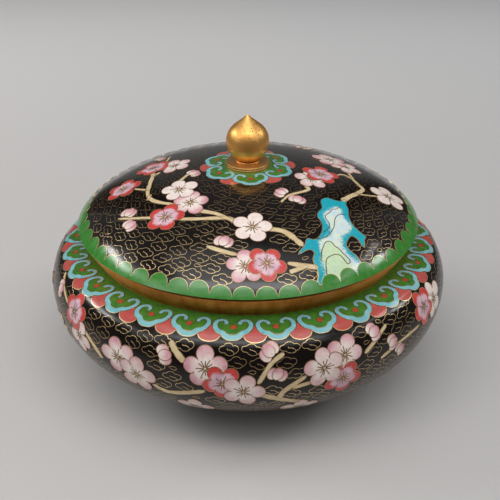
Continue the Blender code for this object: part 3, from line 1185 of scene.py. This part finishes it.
# Marked on the photograph and carried through the camera onto the lid, as millimetres right and
# up from the rock's middle.
ROCK = [
    (8.9, 16.3), (12.9, 15.9), (14.4, 13.6), (16.2, 11.5), (19.4, 11), (18.7, 9.8), (16.1, 8.9),
    (13.9, 6.8), (11.1, 5.2), (8.7, 2.5), (7.9, -0.2), (7.9, -3.1), (8.3, -5), (6.6, -5.9), (4.5, -8.3),
    (4.2, -7), (4.6, -4.5), (4, -2.8), (2.9, -2.4), (1.2, -3.2), (-0.7, -4.7), (-0.9, -7.1), (-0.2, -9.6),
    (-0.1, -12.1), (0.5, -14.1), (2.2, -16.2), (-2.2, -16.4), (-8.3, -16.6), (-14.7, -15.4), (-14.1, -12.4),
    (-13.8, -10.5), (-13.9, -7.5), (-13.4, -5.7), (-12.4, -4.4), (-12.4, -3.3), (-13.2, -2.5), (-15, -2.7),
    (-17.5, -3.6), (-15.9, -1.7), (-14.1, -0.3), (-12.9, 1.5), (-11.7, 2.1), (-10.5, 1.2), (-8.6, 1.2),
    (-5.7, 3), (-3.5, 5.4), (-2.1, 8.1), (-2.1, 9.6), (-0.9, 11), (0.9, 12), (4.1, 12.8), (6.1, 14.6),
]
ROCK_PALE = [
    (5.7, 11.3), (12.4, 10.4), (9.3, 6.6), (8.1, 3.7), (7, 0.8), (4.3, -0.9), (0.9, -0.9), (-1.7, -3.9),
    (-2.1, -6.6), (-1.3, -9.6), (-0.9, -13.9), (-8.3, -16.8), (-12.6, -14.7), (-12.2, -11.5), (-11.2, -7.2),
    (-10.5, -4.4), (-9, -0.4), (-5.3, 0.7), (-1.2, 3.2), (-0.6, 7), (1.5, 10),
]
ROCK_MOSS = [
    (-11.3, -7.5), (-9.9, -4.6), (-6.8, -1.4), (-4.8, -1.8), (-4.6, -3.7), (-3.6, -6.3), (-3.8, -10.7),
    (-4.8, -13.8), (-8.3, -17), (-12, -14.5), (-11, -9.5),
]
FOLDS = [
    [
        (12.8, 9.9), (9.8, 9.6), (7.6, 10.4), (4.9, 9.7), (1.7, 9.1), (0.6, 7.6), (0, 5.4), (-1.5, 4),
        (-5.2, 2.7),
    ],
    [
        (10, 6.2), (7.7, 7.1), (5.8, 7), (2.9, 5.6), (1.1, 3.9), (-1, 2.6), (-3.3, 1.5), (-5.5, 0.8),
        (-9, 1),
    ],
    [
        (-11.5, -7.5), (-10.8, -5.9), (-9.3, -3.6), (-7.2, -1.5), (-5.6, -1.1), (-4.7, -2), (-4.6, -3.6),
        (-3.8, -5.4), (-3.7, -7), (-3.3, -8.6), (-3, -10.3), (-3.6, -11.2), (-4.4, -10.9), (-4.6, -9.2),
        (-4.8, -7.7),
    ],
    [(-12, -14), (-11.5, -12), (-10.8, -9.6), (-9.6, -7.4), (-7.9, -6.7), (-5.9, -6.7), (-4.8, -7.7)],
]
print("the rock has", len(ROCK), "corners and", len(FOLDS), "folds")


# %% The rock
def inside(points, outline):
    """How far each point lies inside a closed outline, in mm; outside it is less than 0."""
    points, outline = np.asarray(points)[:, :2], np.asarray(outline)
    nearest = np.full(len(points), 1e9)
    crossings = np.zeros(len(points), int)
    for start, end in zip(outline, np.roll(outline, -1, axis=0)):
        way = end - start
        share = np.clip(((points - start) @ way) / (way @ way), 0.0, 1.0)
        nearest = np.minimum(nearest, np.hypot(*(points - start - share[:, None] * way).T))
        spans = (start[1] > points[:, 1]) != (end[1] > points[:, 1])
        rise = way[1] if abs(way[1]) > 1e-9 else 1e-9
        meets = start[0] + (points[:, 1] - start[1]) * way[0] / rise
        crossings += spans & (points[:, 0] < meets)
    return np.where(crossings % 2 == 1, nearest, -nearest)


def on_rock(plan, lift):
    """Puts a plan of the rock on the lid."""
    radius = float(lid_skin.at(lid_skin.radius, ROCK_DOWN))
    around = math.radians(ROCK_AROUND) + plan[:, 0] / radius
    return lid_skin.point(around, ROCK_DOWN - plan[:, 1], plan[:, 2] + lift)


rock_line = smooth(ROCK, 2, closed=True)
rock_points, rock_faces = cell(rock_line, 0.8)
rock = Inlay(lid_skin)
rock.put(
    on_rock(rock_points, 0.05),
    rock_faces,
    pale=inside(rock_points, smooth(ROCK_PALE, 2, closed=True)),
    moss=inside(rock_points, smooth(ROCK_MOSS, 2, closed=True)),
)
for fold in FOLDS:
    points, faces = bent_wire(smooth(fold, 3), width=0.34, closed=False)
    rock.put(on_rock(points, 0.06), faces, 1, pale=0.0, moss=0.0)
points, faces = bent_wire(rock_line, width=0.36)
rock.put(on_rock(points, 0.06), faces, 2, pale=0.0, moss=0.0)
print("the rock's cells have", len(rock_faces), "faces")

# %% The rock's glass
rock_glass = Finish("rock_enamel")
powder = rock_glass.grain(0.45, 2.0)
clouds = rock_glass.grain(3.0, 3.0)
edge = rock_glass.mark("pale") + (powder - 0.5) * 2.6 + (clouds - 0.5) * 2.0
moss = (rock_glass.mark("moss") + (powder - 0.5) * 2.0 + 0.4).ramp(-0.6, 0.9)
middle = rock_glass.blend(clouds.ramp(0.35, 0.65), paint(206, 224, 230), paint(222, 232, 214))
middle = rock_glass.blend(moss * 0.75, middle, paint(202, 224, 170))
speckle = rock_glass.grain(0.6, 1.0).ramp(0.55, 0.68)
middle = rock_glass.blend(speckle * 0.35, middle, paint(122, 180, 200))
rim_blue = rock_glass.blend(powder.ramp(0.4, 0.7), paint(30, 160, 178), paint(52, 176, 190))
glaze(rock_glass, rock_glass.blend(edge.ramp(-0.5, 1.0), rim_blue, middle), clouds)
dark_wire = brass("dark_wire", paint(120, 92, 62), paint(86, 64, 44), 0.4)
rock.piece("lid_rock", rock_glass.material, dark_wire, wire_gilt)

# %% [markdown]
# ## The plum sprays
#
# Plum blossom on bare twigs is the usual picture on such a box. The twigs are long thin cells,
# so they are made as strips that follow a way over the skin, with a wire on each side. A strip
# is told its width at each end, and a twig swells and shrinks a little on its way.


# %% One twig
TWIG_LANES = ((-0.5, -0.12), (-0.5, 0.07), (-0.17, 0.07), (0.17, 0.07), (0.5, 0.07), (0.5, -0.12))
TWIG_WIRE = 0.26
TWIG_WIRE_LANES = ((-0.5, -0.06), (-0.36, 0.11), (0.36, 0.11), (0.5, -0.06))


def twig(cells, wires, spots, way, start, end):
    """One twig along a way of (degrees round, mm down), its width from start to end."""
    skin = cells.skin
    soft = smooth(way, 5)
    around, down = np.radians(soft[:, 0]), soft[:, 1]
    knots = np.random.default_rng(len(spots)).normal(0.0, 0.07, len(down))
    width = np.linspace(start, end, len(down)) * (1.0 + knots)
    width[0], width[-1] = width[0] * 0.45, width[-1] * 0.35
    cells.put(*strip_on(skin, around, down, width, TWIG_LANES))
    for side in (-0.5, 0.5):
        edge = shifted(skin, around, down, side * width)
        wires.put(*strip_on(skin, *edge, TWIG_WIRE, TWIG_WIRE_LANES))
    spots += [(a, d, w / 2) for a, d, w in zip(around, down, width)]


# %% [markdown]
# The twigs' ways were marked on the photograph and carried through the camera onto the skin, as
# degrees round it and millimetres down it. The far side doesn't show, and has plainer sprays of
# the same kind. On the lid the far spray lies low, beyond the lid's outline as the photograph
# shows it.

# %% All twigs
# Each row is a way, and the twig's width at the way's start and at its end.
LID_TWIGS = [
    ([(-62, 53.5), (-48.5, 46), (-32, 41), (-12.7, 37.1), (-6, 38.9)], 1.1, 2.2),
    ([(-34.2, 35.8), (-19.9, 35.3), (-12.9, 36.6), (-7, 38.6)], 1.9, 1.5),
    ([(-46, 36.5), (-62.5, 40), (-79.3, 37.2), (-90, 36.1), (-96, 37.1)], 1.6, 1.9),
    ([(-89, 36.2), (-93.1, 33.4)], 1.8, 1.4),
    ([(-62, 41.2), (-66, 38.7)], 1, 1.6),
    ([(-71.6, 38.2), (-80.3, 43.4)], 1.3, 0.9),
    ([(-76.5, 22.3), (-66.8, 27.4)], 1.2, 1.7),
    (
        [
            (57.9, 39.9), (65.5, 40.8), (71.4, 42.3), (78.4, 43.9), (80.8, 43.4), (86, 40.6), (95.2, 39),
            (101, 38.6),
        ],
        2.3, 1,
    ),
    ([(86.3, 32.9), (90.4, 36), (89.4, 38.6), (86.4, 40.4), (81.5, 42.6)], 1, 1.5),
    ([(70.5, 41.6), (79.3, 50.9)], 1.2, 0.8),
    ([(22.5, 29.8), (33.3, 27), (50.2, 28), (53.5, 26.4), (60.8, 25.2)], 0.9, 2),
    ([(9.1, 42.3), (14.5, 43.6), (17.8, 46.2), (21, 51.5)], 1.9, 2.3),
    ([(-15.9, 50.6), (-3.6, 53.2)], 1.3, 1.5),
    ([(13.2, 57.2), (17, 58.6), (22.6, 60.6)], 1.1, 2),
    ([(13.1, 60.6), (16.4, 59.9), (19.8, 59.3)], 1.4, 1.3),
    ([(-111, 36), (-114.5, 35.2), (-124, 37.5)], 1.1, 0.8),
    ([(153, 60.5), (164, 57), (180, 58.5), (198, 57), (209, 60)], 1, 1.7),
]
BOWL_TWIGS = [
    ([(-67.6, 12.8), (-63.5, 16), (-57.7, 19.1)], 1, 1.3),
    ([(-49.2, 21.6), (-44.5, 25.5), (-40.5, 30.3)], 1.1, 1.6),
    ([(-19.8, 15), (-17.9, 18), (-15.6, 20.8)], 1.9, 2.3),
    ([(8.6, 17), (5.1, 20.4), (2.2, 27.1)], 1.6, 1.3),
    ([(13.8, 25.7), (8.8, 30.6), (7.3, 35.1)], 1.2, 2),
    ([(3.2, 32.3), (7.5, 35), (13.3, 38.6)], 2.2, 1.6),
    ([(15.4, 28.6), (10.6, 29.9)], 1.2, 1.5),
    ([(-24.7, 33.1), (-20.3, 35.3), (-10.7, 31.3)], 1.3, 1.7),
    ([(37.9, 16.3), (34.5, 18.8), (29.8, 22.8)], 1.2, 1.6),
    ([(50.7, 23.8), (41.9, 24.8), (35.2, 27.5)], 1, 1.2),
    ([(100, 19), (114, 27), (128, 23), (141, 34)], 1.9, 1.1),
    ([(114, 27), (120, 38)], 1.4, 0.9),
    ([(196, 17), (208, 27), (223, 21), (236, 30)], 1.1, 1.9),
    ([(208, 27), (214, 39)], 1.5, 0.9),
    ([(251, 24), (263, 31), (277, 27)], 1, 1.7),
]
twig_spots = {"lid": [], "bowl": []}
for owner, skin, twigs in (("lid", lid_skin, LID_TWIGS), ("bowl", bowl_skin, BOWL_TWIGS)):
    cells, wires = Inlay(skin), Inlay(skin)
    for way, start, end in twigs:
        twig(cells, wires, twig_spots[owner], way, start, end)
    cells.piece(owner + "_twigs", branch_enamel)
    wires.piece(owner + "_twig_wires", wire_gilt)

# %% [markdown]
# A flower is five copies of one petal and twelve of one stamen wire, and has its own turn. A
# petal is a wedge that ends in a round lobe, so the five close up in the heart, and its wire
# only goes round the lobe. A closed bud is three small ovals.

# %% One petal, one stamen, one bud
FLOWER_RADIUS = 7.0
LOBE = [(2.43, 3.34), (2.66, 4.3), (2.48, 5.3), (1.93, 6.17), (1.08, 6.78), (0.0, 7.02)]
lobe_line = smooth(LOBE + [(-x, y) for x, y in LOBE[-2::-1]], 2)
petal = cell([(0.0, -0.3), (1.15, 1.3)] + [tuple(point) for point in lobe_line] + [(-1.15, 1.3)], 1.7)
wire_line = [(2.15, 2.95)] + [tuple(point) for point in lobe_line] + [(-2.15, 2.95)]
petal_wire = bent_wire(wire_line, width=0.25, closed=False)
stamen = bent_wire([(0.0, 0.5), (0.0, 1.8), (0.0, 3.1)], width=0.34, closed=False, section=FINE_WIRE)
bud_line = circle(1.8, 12, squash=1.25)
bud = cell(bud_line, 1.6)
bud_wire = bent_wire(bud_line, width=0.25)
print("a petal has", len(petal[1]), "faces, a stamen", len(stamen[1]), "and a bud", len(bud[1]))

# %% [markdown]
# Petals are white, blush or pink, and some have red tips. The wet powder shades from the heart
# outwards, so each point of a petal carries its place on the petal, and the finish shades by it.

# %% The petals' glass
petal_glass = Finish("petal_enamel")
powder = petal_glass.grain(0.35, 2.0)
clouds = petal_glass.grain(2.2, 2.0)
reach = petal_glass.mark("reach") + (powder - 0.5) * 0.3 + (clouds - 0.5) * 0.2
side = petal_glass.mark("side")
red_share = petal_glass.mark("red")
white = petal_glass.blend(clouds.ramp(0.3, 0.8), paint(244, 232, 222), paint(235, 214, 206))
rose = petal_glass.blend(clouds.ramp(0.3, 0.8), paint(218, 158, 168), paint(200, 138, 154))
speckle = petal_glass.grain(0.5, 1.0).ramp(0.56, 0.68)
rose = petal_glass.blend(speckle * 0.4, rose, paint(186, 108, 128))
body = petal_glass.blend(petal_glass.mark("pink") * (reach + side * side).ramp(0.3, 1.0), white, rose)
lilac = petal_glass.blend(clouds.ramp(0.3, 0.7), paint(222, 180, 192), paint(196, 150, 174))
body = petal_glass.blend(red_share * 0.8, body, lilac)
tip = (reach + side * side * 1.6).ramp(0.56, 0.76) * red_share
red = petal_glass.blend(powder.ramp(0.4, 0.7), paint(208, 74, 68), paint(186, 54, 50))
body = petal_glass.blend(tip, body, red)
heart = 1.0 - reach.ramp(0.04, 0.24)
body = petal_glass.blend(heart * 0.6, body, paint(200, 170, 116))
pit = petal_glass.specks(2.0, 0.2, 0.2)
glaze(petal_glass, petal_glass.blend(pit * 0.7, body, paint(84, 48, 54)), clouds, pit)
stamen_brass = brass("stamen_brass", paint(146, 112, 76), paint(104, 76, 52), 0.5, 0.5)
petal_brass = brass("petal_brass", paint(176, 142, 104), paint(136, 102, 74), 0.45, 0.7)
print("petals:", petal_glass.material.name, "with", len(petal_glass.tree.nodes), "nodes")


# %% One flower
PETALS = 5
STAMENS = 12
TINTS = {"white": (0.12, 0.0), "blush": (0.6, 0.0), "pink": (1.0, 0.0), "red": (0.9, 1.0)}


def lift_of(level):
    """How high a cell lies over the ground; each level overlaps the one below."""
    return 0.13 + 0.07 * level


def flower(cells, wires, around, down, radius, kind, first, level):
    """Five petals and twelve stamens; first is where the first petal points, in degrees."""
    pink, red = TINTS[kind]
    size = radius / FLOWER_RADIUS
    first -= 90.0
    spread = petal[0] / FLOWER_RADIUS
    rng = np.random.default_rng(int(abs(around) * 31 + down * 7))
    for number in range(PETALS):
        shape = (size * rng.normal(1.0, 0.02), size * rng.normal(1.0, 0.03))
        turn = first + 360.0 / PETALS * number + rng.normal(0.0, 2.0)
        shade = np.clip(pink * rng.normal(1.0, 0.15), 0.0, 1.0)
        place = dict(turn=turn, size=shape, lift=lift_of(level))
        cells.add(petal, around, down, **place, reach=spread[:, 1], side=spread[:, 0], pink=shade, red=red)
        wires.add(petal_wire, around, down, **place)
    for number in range(STAMENS):
        turn = first + 360.0 / STAMENS * number + rng.normal(0.0, 5.0)
        length = size * (1.0 if number % 2 else 0.78) * rng.normal(1.0, 0.08)
        place = dict(turn=turn, size=(1.0, length), lift=lift_of(level) + 0.03)
        wires.add(stamen, around, down, **place, finish=1)


# %% One closed bud
BUD_LENGTH = 6.0
# How far right and up each petal lies, its width, its level and its shade.
FOLDED = ((-1.6, -0.2, 0.95, 0, 0.85), (1.6, 0.2, 0.95, 0, 1.0), (0.05, 0.35, 1.0, 1, 1.0))


def closed_bud(cells, wires, around, down, turn, size):
    """Three petals still folded: two at the sides and one over them."""
    c, s = math.cos(math.radians(turn)), math.sin(math.radians(turn))
    radius = float(cells.skin.at(cells.skin.radius, down))
    spread = bud[0] / BUD_LENGTH
    for x, y, width, level, shade in FOLDED:
        right, up = (c * x - s * y) * size, (s * x + c * y) * size
        place = dict(turn=turn, size=size * width, lift=lift_of(level))
        place.update(around=around + math.degrees(right / radius), down=down - up)
        cells.add(bud, **place, reach=0.66 + spread[:, 1], side=spread[:, 0], pink=shade, red=0.0)
        wires.add(bud_wire, **place)


# %% [markdown]
# The flowers' places were marked on the photograph too. A flower's row says where it is, its
# radius, its kind, its turn and its level; a bud's row says where it is, its turn and its size.

# %% All flowers and buds
LID_FLOWERS = [
    (2, 41.1, 7, "white", 76, 1), (-1, 57.5, 6.3, "pink", 95, 0), (6.2, 56.6, 6.6, "red", 52, 1),
    (-56.2, 29.7, 7, "white", 80, 1), (-38, 32.8, 6.8, "pink", 45, 0), (-41.9, 43.1, 7, "red", 110, 1),
    (-85.2, 47.7, 7, "red", 90, 0), (-103.2, 37.8, 7, "red", 70, 1), (-101.5, 28.6, 6.5, "blush", 60, 0),
    (81.3, 27.5, 7, "red", 75, 1), (67.9, 25, 6.5, "blush", 100, 0), (83, 54.3, 7.4, "white", 85, 0),
    (115.4, 36, 7.3, "pink", 60, 1), (104.9, 39.6, 6.5, "blush", 95, 0), (143.3, 38.6, 4.4, "blush", 80, 0),
    (168, 58.2, 4.8, "pink", 70, 1), (177.5, 58.4, 4.7, "red", 100, 0), (188, 58, 4.8, "white", 50, 1),
    (198.5, 58.4, 4.6, "pink", 80, 0),
]
LID_BUDS = [
    (-75.2, 20.8, 10, 0.95), (-60.7, 49.3, 20, 1), (-53.2, 52.6, -15, 1), (-9.8, 48.1, -20, 1),
    (28.6, 24.6, 25, 0.95), (34.5, 30.5, -60, 0.95), (-120, 41, 60, 0.95), (154, 60, 0, 0.8),
    (208, 59.8, 20, 0.8),
]
BOWL_FLOWERS = [
    (-50, 26.7, 6.5, "blush", 60, 0), (-53, 19.3, 6.8, "red", 82, 1), (-34.5, 26, 7.3, "pink", 105, 0),
    (-29, 30.5, 7.3, "blush", 80, 1), (-10.4, 22.1, 7.4, "pink", 95, 0), (-6.3, 27.3, 6.7, "red", 50, 1),
    (-1.3, 30.3, 6.9, "blush", 70, 2), (24.1, 21, 6.8, "pink", 68, 0), (23.8, 30, 6.8, "red", 60, 1),
    (18.4, 23.8, 7, "blush", 97, 2), (60.8, 20.1, 6.8, "white", 100, 0), (54.2, 18.9, 6.8, "red", 118, 1),
    (13.5, 44, 6.5, "blush", 90, 0), (-14.7, 43.5, 6.5, "blush", 80, 0), (98, 21, 7, "pink", 80, 0),
    (143, 37, 7, "red", 95, 1), (134, 33, 6.6, "white", 60, 0), (121, 40, 6.6, "pink", 75, 0),
    (194, 18, 6.8, "white", 85, 0), (238, 31, 7, "pink", 90, 0), (228, 34, 6.6, "red", 60, 1),
    (214, 42, 6.5, "white", 80, 0), (266, 21, 6.8, "red", 75, 0), (296, 33, 6.4, "white", 70, 0),
]
BOWL_BUDS = [
    (-64.6, 17.8, -80, 1), (-21, 19.8, -75, 1.05), (5, 16.2, 40, 1.05), (6.8, 24, -25, 1),
    (33.2, 16.9, -70, 1), (38.9, 23.3, -80, 0.95), (42.1, 27.9, -60, 0.9), (108, 18, 20, 1),
    (203, 33, -30, 1), (282, 23, 10, 1),
]
BUD_ROOM = 2.6

flower_spots = {"lid": [], "bowl": []}
for owner, skin, flowers, buds in (
    ("lid", lid_skin, LID_FLOWERS, LID_BUDS),
    ("bowl", bowl_skin, BOWL_FLOWERS, BOWL_BUDS),
):
    cells, wires = Inlay(skin), Inlay(skin)
    for around, down, radius, *look in flowers:
        flower(cells, wires, around, down, radius, *look)
        flower_spots[owner].append((math.radians(around), down, radius))
    for around, down, turn, size in buds:
        closed_bud(cells, wires, around, down, turn, size)
        flower_spots[owner].append((math.radians(around), down, BUD_ROOM))
    cells.piece(owner + "_petals", petal_glass.material)
    wires.piece(owner + "_petal_wires", petal_brass, stamen_brass)

# %% [markdown]
# ## The cloud ground
#
# All the black is filled with small cloud wires. They aren't there for the picture alone: the
# wires hold the glass to the copper. One cloud and its hook are bent once, and a small drop for
# the gaps beside the flowers.

# %% One cloud and one drop
CLOUD = [
    (-2.5, -1.05), (-3.1, -0.6), (-3.25, 0), (-2.9, 0.6), (-2.25, 0.85), (-1.75, 0.95), (-1.3, 1.5),
    (-0.5, 1.85), (0.35, 1.85), (1, 1.5), (1.35, 1), (2.1, 1.15), (2.9, 0.8), (3.25, 0.2), (3.05, -0.5),
    (2.5, -1), (1.95, -1.2), (1.45, -1.65), (0.7, -1.9), (-0.2, -1.85), (-0.9, -1.55), (-1.35, -1.1),
]
CLOUD_HOOK = [(1.75, -1.35), (1.6, -0.85), (1.05, -0.45), (0.3, -0.2), (-0.35, -0.25), (-0.7, 0.1)]
DROP = [(-1.35, 0), (-0.4, 0.5), (0.6, 0.65), (1.25, 0.3), (1.25, -0.3), (0.6, -0.65), (-0.4, -0.5)]
CLOUD_PITCH = 7.2
CLOUD_ROW = 3.9
CLOUD_SPACE = 4.5
CLOUD_SQUEEZE = 0.625

cloud = bent_wire(CLOUD, width=0.24, section=FINE_WIRE)
cloud_hook = bent_wire(CLOUD_HOOK, width=0.24, closed=False, section=FINE_WIRE)
drop = bent_wire(DROP, width=0.26, section=FINE_WIRE)
print("a cloud has", len(cloud[1]) + len(cloud_hook[1]), "faces and a drop", len(drop[1]))

# %% [markdown]
# The enameller fits the clouds in by eye, none on another and none on a flower. Here their
# places start in rows, and then they push each other and the flowers away until they lie evenly.
# Crowded ones are taken out and gaps are filled. A cloud is wider than high, so distances round
# the skin count less.


# %% Room round a place
def nearest_motif(skin, spots, places):
    """How far each place is from the nearest motif, and the way away from it."""
    radius = skin.at(skin.radius, places[:, 1])[:, None]
    x = wrapped(places[:, None, 0] - spots[None, :, 0]) * radius
    y = places[:, None, 1] - spots[None, :, 1]
    far = np.hypot(x, y)
    best = np.argmin(far - spots[None, :, 2], axis=1)
    rows = np.arange(len(places))
    way = np.stack([x[rows, best], y[rows, best]], axis=1) / np.maximum(far[rows, best], 0.01)[:, None]
    return far[rows, best] - spots[best, 2], way


def apart(skin, first, second):
    """Distances between two sets of places, with the clouds' long side counted less."""
    radius = skin.at(skin.radius, first[:, 1])[:, None]
    x = wrapped(first[:, None, 0] - second[None, :, 0]) * radius * CLOUD_SQUEEZE
    y = first[:, None, 1] - second[None, :, 1]
    return x, y, np.hypot(x, y)


def fill_gaps(skin, spots, places, trials, lowest, space, clearance):
    """Adds each trial place that lies above the lowest line, apart from the others and the motifs."""
    for trial in trials:
        trial = trial[None, :]
        if trial[0, 1] > lowest(trial[:, 0])[0] or apart(skin, trial, places)[2].min() < space:
            continue
        if nearest_motif(skin, spots, trial)[0][0] > clearance:
            places = np.concatenate([places, trial])
    return places


def random_places(rng, count, first, edge, places):
    """Random places between the first line and the edge."""
    last = float(np.max(edge(places[:, 0])))
    return rng.uniform((-math.pi, first), (math.pi, last), (count, 2))


# %% Even places
CLOUD_TRIALS = 2500
CLOUD_CROWDED = CLOUD_SPACE * 0.82
CLOUD_ROOM = CLOUD_SPACE * 0.87
START_CLEARANCE = 0.6
START_MARGIN = 1.5
SETTLE_ROUNDS = (50, 40, 30)
LAST_ROUNDS = 15
MOTIF_PUSH = 2.4
MOTIF_CLEARANCE = 1.5
GAP_CLEARANCE = 1.9


def settle(skin, places, spots, first, edge, rounds):
    """Lets the places push each other and the motifs away until they lie evenly."""
    for _ in range(rounds):
        x, y, far = apart(skin, places, places)
        np.fill_diagonal(far, 99.0)
        push = np.clip(CLOUD_SPACE - far, 0.0, None) / np.maximum(far, 0.3) * 0.25
        gap, way = nearest_motif(skin, spots, places)
        shove = np.clip(MOTIF_PUSH - gap, 0.0, 1.0)[:, None] * way * 0.5
        radius = skin.at(skin.radius, places[:, 1])
        places[:, 0] += ((x * push).sum(axis=1) / CLOUD_SQUEEZE + shove[:, 0]) / radius
        places[:, 1] += (y * push).sum(axis=1) + shove[:, 1]
        places[:, 1] = np.clip(places[:, 1], first, edge(places[:, 0]))
    return places


def even_places(skin, spots, first, edge, rng):
    """Places for the clouds: rows at first, settled, thinned, and filled where a gap is left."""
    rows = []
    lowest = float(np.max(edge(np.linspace(-3.1, 3.1, 60)))) + 2.0
    for row, row_down in enumerate(np.arange(first, lowest, CLOUD_ROW)):
        count = round(2 * math.pi * float(skin.at(skin.radius, row_down)) / CLOUD_PITCH)
        rows += [(2 * math.pi * (spot + 0.5 * (row % 2)) / count, row_down) for spot in range(count)]
    places = np.array(rows)
    above = places[:, 1] < edge(places[:, 0]) + START_MARGIN
    places = places[(nearest_motif(skin, spots, places)[0] > START_CLEARANCE) & above]
    for rounds in SETTLE_ROUNDS:
        places = settle(skin, places, spots, first, edge, rounds)
        places = places[nearest_motif(skin, spots, places)[0] > MOTIF_CLEARANCE]
        far = apart(skin, places, places)[2]
        crowded = np.tril(far < CLOUD_CROWDED, -1).any(axis=1)
        places = places[~crowded]
        trials = random_places(rng, CLOUD_TRIALS, first, edge, places)
        places = fill_gaps(skin, spots, places, trials, edge, CLOUD_ROOM, GAP_CLEARANCE)
    return settle(skin, places, spots, first, edge, LAST_ROUNDS)


# %% All clouds and drops
DROP_TRIALS = 6000
DROP_SPACE = 2.75
DROP_CLEARANCE = 1.1
DROPS_HIGHER = 2.0
DROPS_LOWER = 1.0
SCALLOP_CLEARANCE = 1.7
LID_CLOUDS_START = 20.2
BOWL_CLOUDS_START = 15.4
BOWL_CLOUDS_END = 68.0
ROCK_ROOM = 0.6


def cloud_ground(owner, skin, motifs, first, edge):
    """Clouds all over a skin from first down to the edge, with some drops in the gaps."""
    wires = Inlay(skin)
    rng = np.random.default_rng(11)
    spots = np.array(motifs)
    clouds = even_places(skin, spots, first, edge, rng)
    for around, down in clouds:
        small = 0.9 + 0.1 * math.cos(around)
        size = (small * rng.uniform(0.93, 1.03), small * rng.uniform(0.95, 1.08))
        place = dict(around=math.degrees(around), down=down, turn=rng.normal(0, 6), size=size)
        wires.add(cloud, **place)
        wires.add(cloud_hook, **place)
    trials = random_places(rng, DROP_TRIALS, first - DROPS_HIGHER, edge, clouds)
    lowest = lambda angle: edge(angle) + DROPS_LOWER
    places = fill_gaps(skin, spots, clouds, trials, lowest, DROP_SPACE, DROP_CLEARANCE)
    for around, down in places[len(clouds):]:
        turn = rng.choice([0, 180]) + rng.normal(0, 12)
        wires.add(drop, math.degrees(around), down, turn=turn, size=rng.uniform(0.85, 1.0))
    print(owner, "has", len(clouds), "clouds and", len(places) - len(clouds), "drops")
    wires.piece(owner + "_clouds", wire_gilt)


def lid_clouds_end(angle):
    """The last place for a cloud above the scallops, at angles in radians."""
    return lid_end - border_width(angle) - SCALLOP_RISE - SCALLOP_CLEARANCE


def bowl_clouds_end(angle):
    """The last place for a cloud under the bowl."""
    return np.full(np.shape(angle), BOWL_CLOUDS_END)


rock_radius = float(lid_skin.at(lid_skin.radius, ROCK_DOWN))
rock_middle = math.radians(ROCK_AROUND)
rock_spots = [(rock_middle + x / rock_radius, ROCK_DOWN - y, ROCK_ROOM) for x, y, _ in rock_points[::2]]
lid_motifs = flower_spots["lid"] + twig_spots["lid"] + rock_spots
bowl_motifs = flower_spots["bowl"] + twig_spots["bowl"]
cloud_ground("lid", lid_skin, lid_motifs, first=LID_CLOUDS_START, edge=lid_clouds_end)
cloud_ground("bowl", bowl_skin, bowl_motifs, first=BOWL_CLOUDS_START, edge=bowl_clouds_end)
